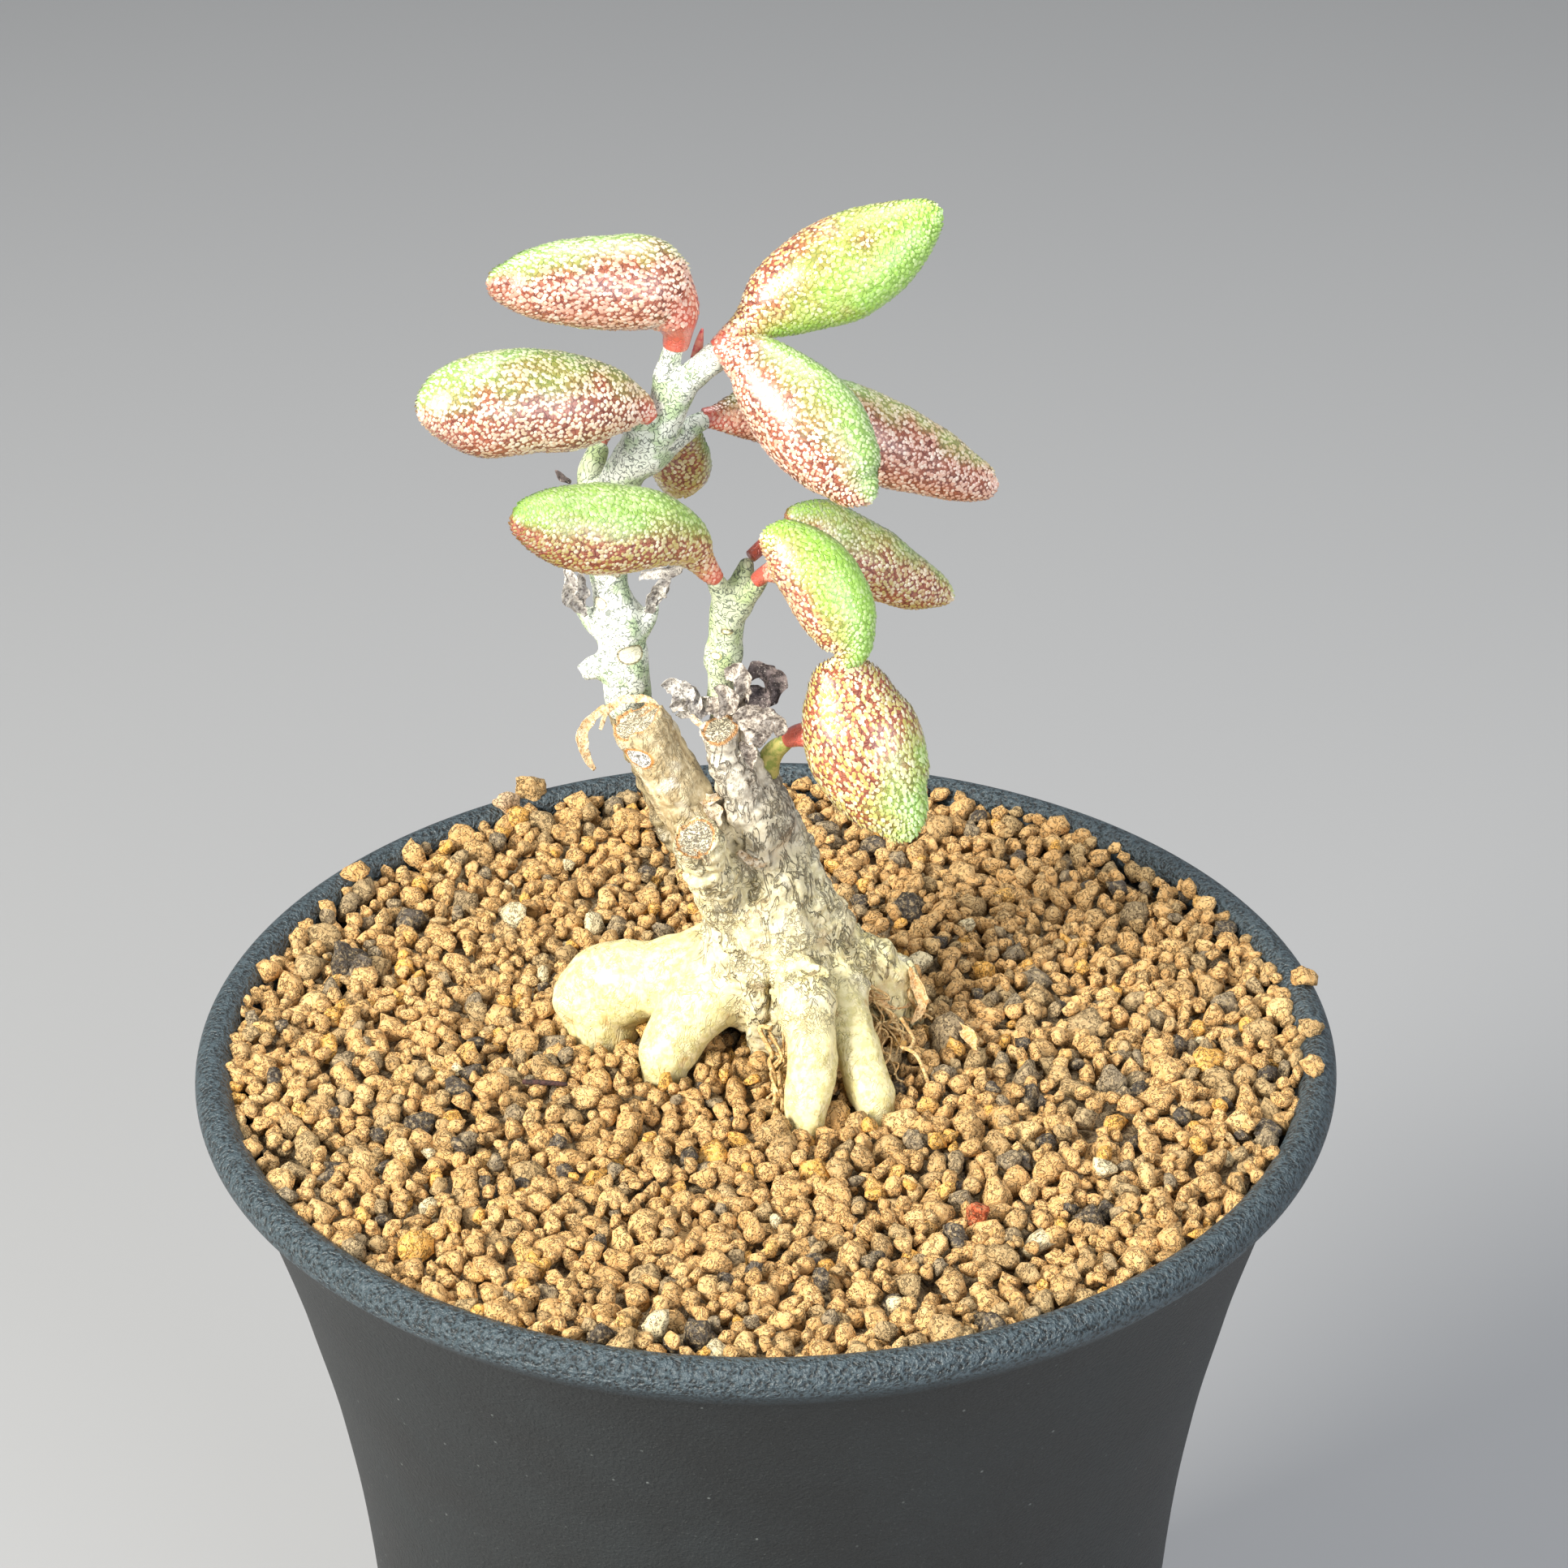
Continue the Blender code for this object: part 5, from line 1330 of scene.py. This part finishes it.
@dataclass
class DriedRemains:
    """The wizened leaves that cling to the nodes, and the bark that peels off a stump."""

    left: Scrap = Scrap("dried_leaf_left", (
        ((-14.7, 1.8, 139.3, 0.3), (-14.2, 1.8, 138.1, 0.45), (-14.5, 2.0, 137.2, 0.45),
         (-14.1, 2.6, 136.0, 0.45), (-13.4, 3.2, 134.7, 0.35)),
        ((-13.6, 2.4, 139.0, 0.2), (-13.5, 2.6, 137.4, 0.3), (-13.8, 3.2, 135.3, 0.3))))
    right: Scrap = Scrap("dried_leaf_right", (
        ((-7.1, 1.6, 139.4, 0.3), (-7.5, 1.6, 138.2, 0.4), (-8.1, 2.4, 136.8, 0.4),
         (-8.5, 3.0, 135.1, 0.35)),
        ((-7.7, 2.2, 138.9, 0.2), (-7.2, 2.2, 137.5, 0.25), (-8.1, 3.0, 135.8, 0.25)),
        ((-9.3, 1.8, 138.5, 0.25), (-8.1, 1.4, 139.2, 0.3), (-6.6, 1.2, 139.5, 0.3),
         (-5.7, 1.0, 140.0, 0.25))))
    curl: Scrap = Scrap("dried_leaf_curl", (
        ((-7.4, -0.6, 130.3, 0.5), (-6.8, -0.9, 130.7, 0.6), (-6.1, -0.8, 130.2, 0.5),
         (-6.2, -0.5, 129.2, 0.5), (-7.0, -0.2, 128.7, 0.35)),
        ((-6.4, -0.2, 130.5, 0.45), (-5.7, -0.4, 130.2, 0.55), (-5.4, -0.6, 129.6, 0.5),
         (-5.6, -0.6, 128.6, 0.45), (-6.3, -0.3, 128.0, 0.4)),
        ((-5.1, -0.4, 129.6, 0.5), (-4.6, -0.8, 129.0, 0.6), (-4.2, -0.8, 128.2, 0.5))), 0.9)
    fold: Scrap = Scrap("dried_leaf_fold", (
        ((-2.8, -1.4, 131.8, 0.35), (-2.2, -1.8, 132.4, 0.5), (-1.6, -2.0, 132.2, 0.5),
         (-1.4, -1.8, 131.1, 0.45), (-1.6, -1.6, 130.1, 0.45), (-1.9, -1.4, 129.3, 0.4)),
        ((-3.4, -1.3, 131.1, 0.4), (-2.9, -1.7, 130.5, 0.55), (-2.7, -1.8, 129.6, 0.55),
         (-3.0, -1.7, 128.8, 0.4)),
        ((-4.0, -1.0, 129.9, 0.4), (-3.4, -1.4, 129.4, 0.5), (-3.1, -1.4, 128.5, 0.4))), 0.8)
    dark: Scrap = Scrap("dried_leaf_dark", (
        ((-1.1, -0.6, 131.3, 0.45), (-0.5, -0.9, 132.2, 0.55), (0.3, -0.9, 132.0, 0.6),
         (0.8, -0.6, 130.9, 0.6), (0.9, -0.4, 129.6, 0.5), (0.4, -0.4, 129.0, 0.4)),
        ((-0.9, -1.2, 131.0, 0.45), (-0.4, -1.4, 130.4, 0.55), (-0.2, -1.5, 129.5, 0.6),
         (-0.5, -1.6, 128.5, 0.5))), 0.8)
    cup: Scrap = Scrap("dried_leaf_cup", (
        ((-1.9, -2.5, 128.5, 0.55), (-1.1, -2.9, 129.2, 0.7), (0.0, -3.0, 129.1, 0.75),
         (1.0, -2.6, 128.5, 0.6), (1.3, -2.0, 127.3, 0.45)),
        ((-1.5, -2.6, 127.6, 0.45), (-0.6, -2.8, 127.9, 0.55), (0.3, -2.2, 126.9, 0.45)),
        ((-1.7, -1.8, 126.5, 0.4), (-1.2, -1.8, 125.5, 0.5), (-1.6, -1.6, 124.1, 0.45),
         (-1.0, -1.4, 123.0, 0.3))), 0.8)
    strip: Scrap = Scrap("bark_strip", (
        ((-12.0, 1.0, 128.2, 0.25), (-12.8, 0.7, 127.6, 0.35), (-13.5, 0.4, 126.6, 0.35),
         (-13.8, 0.1, 125.5, 0.35), (-13.5, 0.1, 124.3, 0.3), (-12.9, 0.3, 123.1, 0.25)),
        ((-12.3, -0.6, 127.1, 0.15), (-11.6, 0.7, 128.3, 0.2), (-10.0, 1.1, 128.8, 0.2),
         (-8.3, 0.9, 128.6, 0.2), (-7.5, 0.2, 127.6, 0.15))),
        0.3, 0.12, 0.15)
    flakes: Scrap = Scrap("peeling_flakes", (
        ((-4.8, -1.4, 121.9, 0.3), (-4.3, -1.8, 121.6, 0.4), (-3.5, -1.6, 121.8, 0.3)),
        ((-4.5, -1.6, 121.5, 0.35), (-3.8, -1.8, 120.5, 0.4), (-3.3, -1.8, 119.4, 0.25)),
        ((-5.4, -2.0, 128.9, 0.2), (-5.0, -2.4, 128.6, 0.25), (-4.5, -2.6, 128.3, 0.25)),
        ((-2.0, -2.4, 117.4, 0.2), (-1.2, -2.9, 116.8, 0.25), (-0.2, -2.8, 116.7, 0.25),
         (0.5, -2.2, 117.0, 0.2))), 0.6, 0.15)
    tendril: Scrap = Scrap("dry_tendril", (
        ((-14.2, 4.6, 145.3, 0.15), (-14.8, 4.4, 145.7, 0.2), (-15.3, 4.2, 146.4, 0.15)),), 0.3, 0.1)

    def build(self) -> None:
        """Build every scrap in the finish that it has in life."""
        grey = DryTissue("ash_grey_tissue", "e2ddd2", "87807a", "3a3430").make()
        brown = DryTissue("brown_grey_tissue", "d2c8ba", "6b5f56", "2e2622").make()
        black = DryTissue("black_tissue", "7a6d6a", "2c2424", "cdc2b8").make()
        bark = DryTissue("orange_bark", "ecd9b4", "c9a06c", "8f6238").make()
        pale = DryTissue("pale_flake", "e9dcc0", "a98a62", "4a3526").make()
        dressed = ((self.left, grey, "dried"), (self.right, grey, "dried"),
                   (self.curl, grey, "dried"), (self.fold, brown, "dried"),
                   (self.dark, black, "dried"), (self.cup, brown, "dried"),
                   (self.strip, bark, "bark"))
        for seed, (scrap, finish, slot) in enumerate(dressed):
            scrap.skin(seed * 5 + 1).place(f"{scrap.name}_fine", finish, slot, [scrap.name])
        self.flakes.skin(50).place("peeling_flakes", pale, "bark")
        self.tendril.skin(60).place("dry_tendril", black, "dried")


# Soil

@dataclass
class Soil:
    """Porous clay grains rained into the pot round the roots, over a bed painted dark as the shade between
    them.
    """

    pot: Pot
    roots: Growth
    top: float = 97.3
    mound: float = 0.5
    bank: float = 1.7
    depth: float = 1.9
    smallest: float = 0.42
    largest: float = 1.45
    tries: int = 8
    cell: float = 0.25
    seed: int = 5
    count: int = 8500

    def level(self, x: np.ndarray, y: np.ndarray) -> np.ndarray:
        """The height of the soil's surface: a low dome with soft unevenness."""
        flat = np.stack([x, y, np.zeros_like(x)], -1)
        radius2 = (x * x + y * y) / self.pot.radius ** 2
        bank = self.bank * radius2 ** 4
        return self.top + self.mound * (1 - radius2) + 1.3 + bank + 0.35 * noise(flat, 7, 3, 2)

    def rain(self) -> np.ndarray:
        """Drop grains onto a height map and let each settle in the lowest of a few places.

        A grain of radius r rests where the highest (ground + sqrt(r^2 - d^2)) under it holds
        it; later grains are finer. It is left out where it would stand above the soil's level or inside a root.

        Returns:
            Rows of x, y, z, radius.
        """
        draw = np.random.default_rng(self.seed)
        half = self.pot.radius
        axis = np.arange(-half, half, self.cell)
        x, y = np.meshgrid(axis, axis, indexing="ij")
        ground = self.level(x, y) - self.depth + 0.5 * noise(np.stack([x, y, x * 0], -1), 2.3, 9)
        inside = self.pot.inside(np.array([self.top]))[0]
        span = int(self.largest / self.cell) + 1
        offset = np.arange(-span, span + 1)
        ox, oy = np.meshgrid(offset, offset, indexing="ij")
        far2 = (ox ** 2 + oy ** 2) * self.cell ** 2
        grains = []
        for drop in range(self.count):
            finer = 1 - 0.45 * drop / self.count
            radius = self.smallest + (self.largest - self.smallest) * draw.beta(1.8, 2.4) * finer
            room = inside + 1.2 - radius * 0.7
            angle, reach = draw.uniform(0, 2 * math.pi), room * math.sqrt(draw.uniform(0, 1))
            spots = np.array([reach * math.cos(angle), reach * math.sin(angle)])
            spots = spots + draw.normal(0, 1.1, (self.tries, 2))
            spots *= np.minimum(1, room / np.maximum(np.linalg.norm(spots, axis=1), 1e-6))[:, None]
            cap = np.sqrt(np.maximum(radius ** 2 - far2, 0)) * 0.86
            cap[far2 > radius ** 2] = -50
            index = np.round((spots + half) / self.cell).astype(int)
            index = np.clip(index, span, len(axis) - span - 1)
            under = ground[index[:, 0, None, None] + ox, index[:, 1, None, None] + oy] + cap
            heights = under.max(axis=(1, 2))
            best = int(heights.argmin())
            place = np.array([*spots[best], heights[best]])
            if place[2] + radius * 0.75 > self.level(place[:1], place[1:2])[0] + 0.25:
                continue
            if self.roots.sample(self.roots.field, place[None])[0] < radius * 0.45:
                continue
            i, j = index[best]
            window = ground[i - span:i + span + 1, j - span:j + span + 1]
            np.maximum(window, place[2] + cap, out=window)
            grains.append([*place, radius])
        return np.array(grains)

    def grains(self, rows: np.ndarray, tones: np.ndarray, seed: int, level: int = 2) -> Skin:
        """A crumbly block at each row: a ball cut by flat faces, with lumps and dents.

        A point looking along d is at r * min(1, depth / (d . n)) over seven planes with
        random directions n, and then moved in and out by noise.
        """
        draw = np.random.default_rng(seed)
        shape, faces = ball(level)
        count = len(rows)
        turn = np.linalg.qr(draw.normal(size=(count, 3, 3)))[0]
        turn *= np.sign(np.linalg.det(turn))[:, None, None]
        stretch = draw.uniform(0.82, 1.25, (count, 1, 3))
        towards = unit(draw.normal(size=(count, 7, 3)))
        depth = draw.uniform(0.42, 0.88, (count, 1, 7))
        facing = np.einsum("pj,ckj->cpk", shape, towards)
        reach = np.minimum(1.08, (depth / np.maximum(facing, 0.3)).min(axis=2))
        each = shape[None] * stretch * reach[..., None] * 1.18
        spots = each * 2.2 + np.arange(count)[:, None, None] * 7.7
        each = each * (1 + 0.2 * noise(spots, 0.8, seed, 2))[..., None]
        return copies(each, faces, turn * rows[:, 3, None, None], rows[:, :3], {"tone": tones})

    def bed(self) -> Skin:
        """The packed soil under the loose grains: rings from the middle out, then down."""
        angle = np.linspace(0, 2 * math.pi, 150, endpoint=False)
        radii = np.linspace(0.5, self.pot.inside(np.array([self.top]))[0] - 0.35, 46)
        x, y = np.outer(radii, np.cos(angle)), np.outer(radii, np.sin(angle))
        flat = np.stack([x, y, np.zeros_like(x)], -1)
        z = self.level(x, y) - self.depth + 0.5 * noise(flat, 1.6, 4, 2)
        top = np.stack([x, y, z], -1)
        down = np.linspace(self.top - self.depth - 1, self.pot.floor_top + 0.3, 14)
        side = self.pot.inside(down) - 0.35
        wall = np.stack([np.outer(side, np.cos(angle)), np.outer(side, np.sin(angle)),
                         np.repeat(down[:, None], len(angle), 1)], -1)
        rings = np.concatenate([top, wall])
        # Painted shade: the bed gets a dark tone so the gaps between the grains look shaded.
        return closed_grid(rings, {"tone": np.full(rings.shape[:2], 0.09)})

    def build(self) -> None:
        """Rain the grains, then dress the bed, the grains and the odd stones."""
        clay = BakedClay().make()
        rows = self.rain()
        draw = np.random.default_rng(self.seed + 1)
        tones = np.clip(draw.normal(0.52, 0.24, len(rows)), 0.06, 0.94)
        odd = draw.uniform(0, 1, len(rows))
        tones = np.where(odd < 0.03, draw.uniform(0, 0.035, len(rows)), tones)
        tones = np.where(odd > 0.992, 1.0, tones)
        halves = rows[:, 0] < 0
        self.bed().place("soil_bed", clay, "soil", ["soil"])
        for name, half in (("grains_left", halves), ("grains_right", ~halves)):
            self.grains(rows[half], tones[half], len(name)).place(
                name, clay, "soil", smooth=False)
        stones = np.array([(-34.5, 11.8, 99.2, 1.5), (-33.2, 10.6, 99.0, 1.0),
                           (15.4, -24.4, 99.0, 0.9), (25.5, -18.4, 98.9, 0.85),
                           (43.5, 6.5, 100.1, 0.9), (42.9, -0.8, 100.2, 0.75),
                           (42.3, -6.6, 100.1, 0.85), (-20.6, 38.5, 100.3, 1.35),
                           (-22.6, 36.6, 99.7, 0.95), (-34.6, 24.6, 100.0, 0.95)])
        own = np.array([0.01, 0.03, 0.97, 1.0, 0.4, 0.3, 0.55, 0.3, 0.99, 0.5])
        self.grains(stones, own, 3, 3).place("odd_stones", clay, "soil", smooth=False)
        log.info("%d grains", len(rows))


@dataclass
class Fibres:
    """Fine dry root fibres beside the front and right roots, a twig and a husk."""

    bundles: Sequence[tuple] = (
        ((10.9, 3.4, 102.6), (12.6, 1.5, 99.2), 7, 0.14),
        ((8.4, 0.4, 102.6), (10.2, -1.6, 99.2), 9, 0.12),
        ((0.8, -5.0, 102.4), (0.8, -9.8, 99.0), 6, 0.14),
        ((9.0, -3.0, 101.8), (10.4, -6.8, 99.2), 4, 0.12))
    seed: int = 8

    def build(self) -> None:
        """Lay every fibre as a thin wandering tube from root to soil."""
        draw = np.random.default_rng(self.seed)
        skins = []
        for start, end, count, radius in self.bundles:
            for _ in range(count):
                share = np.linspace(0, 1, 6)[:, None]
                line = np.array(start) * (1 - share) + np.array(end) * share
                line += draw.normal(0, 0.75, 3) + draw.normal(0, 0.5, (6, 3))
                line[:, 2] = np.maximum(line[:, 2], 98.2)
                rows = through(line, 5)
                thin = np.full(len(rows), radius * draw.uniform(0.6, 1.5))
                skins.append(closed_grid(rings_along(rows, (0.3, -0.9, 0.4), thin, thin, 5)[0]))
        dry = DryTissue("root_fibre", "dcc08a", "b98f55", "7a5228").make()
        Skin.together(skins).place("root_fibres", dry, "bark")
        twig = through(((-18.9, -6.5, 99.2, 0.2), (-17.2, -6.8, 99.3, 0.22),
                        (-15.4, -6.9, 99.2, 0.15)), 6)
        dark = DryTissue("dark_twig", "4a2c26", "2c1916", "1a0f0d").make()
        closed_grid(rings_along(twig[:, :3], VIEWER, twig[:, 3], twig[:, 3], 8)[0]).place(
            "twig", dark, "bark")
        husk = Scrap("husk", (
            ((14.9, 0.8, 99.8, 0.15), (15.9, -0.9, 99.7, 0.4), (16.6, -2.8, 99.5, 0.15)),
            ((11.4, 2.2, 104.0, 0.2), (11.9, 1.8, 102.8, 0.35), (12.4, 1.0, 101.3, 0.3),
             (11.5, 0.6, 99.8, 0.2)),
            ((6.3, 0.6, 105.4, 0.2), (7.7, 0.4, 103.3, 0.35), (9.4, 0.9, 101.6, 0.35),
             (11.6, 2.0, 101.0, 0.3))), 0.6, 0.12)
        tan = DryTissue("tan_husk", "e8cb98", "c8955a", "8a5f34").make()
        husk.skin(77).place("husk", tan, "bark")


# Studio

@dataclass
class Studio:
    """A pale floor, soft lights from the left and above, and the camera."""

    frame_pixels: float = 1932.0
    focal_pixels: float = 5000.0
    sensor: float = 36.0
    eye: tuple[float, float, float] = (1.564, -271.799, 271.774)
    elevation: float = 28.87
    roll: float = -0.36
    floor_size: float = 3000.0

    def floor(self) -> None:
        """A large plain floor under the pot."""
        cage = bmesh.new()
        bmesh.ops.create_grid(cage, x_segments=2, y_segments=2, size=self.floor_size * MM / 2)
        mesh = bpy.data.meshes.new("floor")
        cage.to_mesh(mesh)
        cage.free()
        ink = Ink("pale_floor")
        mesh.materials.append(ink.finish(ink.mix(ink.grain(400, 2), "949597", "9a9b9c"), 0.8))
        floor = bpy.data.objects.new("floor", mesh)
        bpy.context.scene.collection.objects.link(floor)

    def light(self, name: str, place: tuple[float, float, float], size: float,
              watts: float, colour: str) -> None:
        """One square soft light aimed at the plant."""
        lamp = bpy.data.lights.new(name, "AREA")
        lamp.size, lamp.energy, lamp.color = size * MM, watts, rgb(colour)[:3]
        obj = bpy.data.objects.new(name, lamp)
        obj.location = Vector(place) * MM
        aim = Vector((0, 0, 115)) * MM - obj.location
        obj.rotation_euler = aim.to_track_quat("-Z", "Y").to_euler()
        bpy.context.scene.collection.objects.link(obj)

    def camera(self) -> None:
        """The camera of the photograph: above the front, tilted a third of a degree."""
        rise, roll = math.radians(self.elevation), math.radians(self.roll)
        back = Vector((0, -math.cos(rise), math.sin(rise)))
        level, up = Vector((1, 0, 0)), Vector((0, math.sin(rise), math.cos(rise)))
        right = level * math.cos(roll) + up * math.sin(roll)
        above = up * math.cos(roll) - level * math.sin(roll)
        pose = Matrix((right, above, back)).transposed().to_4x4()
        pose.translation = Vector(self.eye) * MM
        lens = bpy.data.cameras.new("camera")
        lens.sensor_width = self.sensor
        lens.lens = self.sensor * self.focal_pixels / self.frame_pixels
        lens.clip_start = 0.01
        camera = bpy.data.objects.new("camera", lens)
        camera.matrix_world = pose
        bpy.context.scene.collection.objects.link(camera)
        bpy.context.scene.camera = camera

    def build(self) -> None:
        """Set the stage."""
        self.floor()
        self.light("key", (-480, -380, 480), 300, 12.5, "fffaf0")
        self.light("fill", (380, -540, 330), 500, 3.6, "f6f8ff")
        self.light("top", (60, 200, 760), 420, 3.2, "ffffff")
        world = bpy.data.worlds.new("soft_room")
        world.use_nodes = True
        ground = world.node_tree.nodes["Background"]
        ground.inputs["Color"].default_value = rgb("dfe4ea")
        ground.inputs["Strength"].default_value = 0.45
        bpy.context.scene.world = world
        bpy.context.scene.view_settings.view_transform = "Standard"
        self.camera()


def main() -> None:
    """Build the pot, the plant, the soil and the studio."""
    logging.basicConfig(level=logging.INFO, format="%(message)s")
    pot, wood = Pot(), Wood()
    pot.build()
    wood.build()
    Foliage().build()
    DriedRemains().build()
    Soil(pot, wood.base).build()
    Fibres().build()
    Studio().build()


if __name__ == "__main__":
    main()
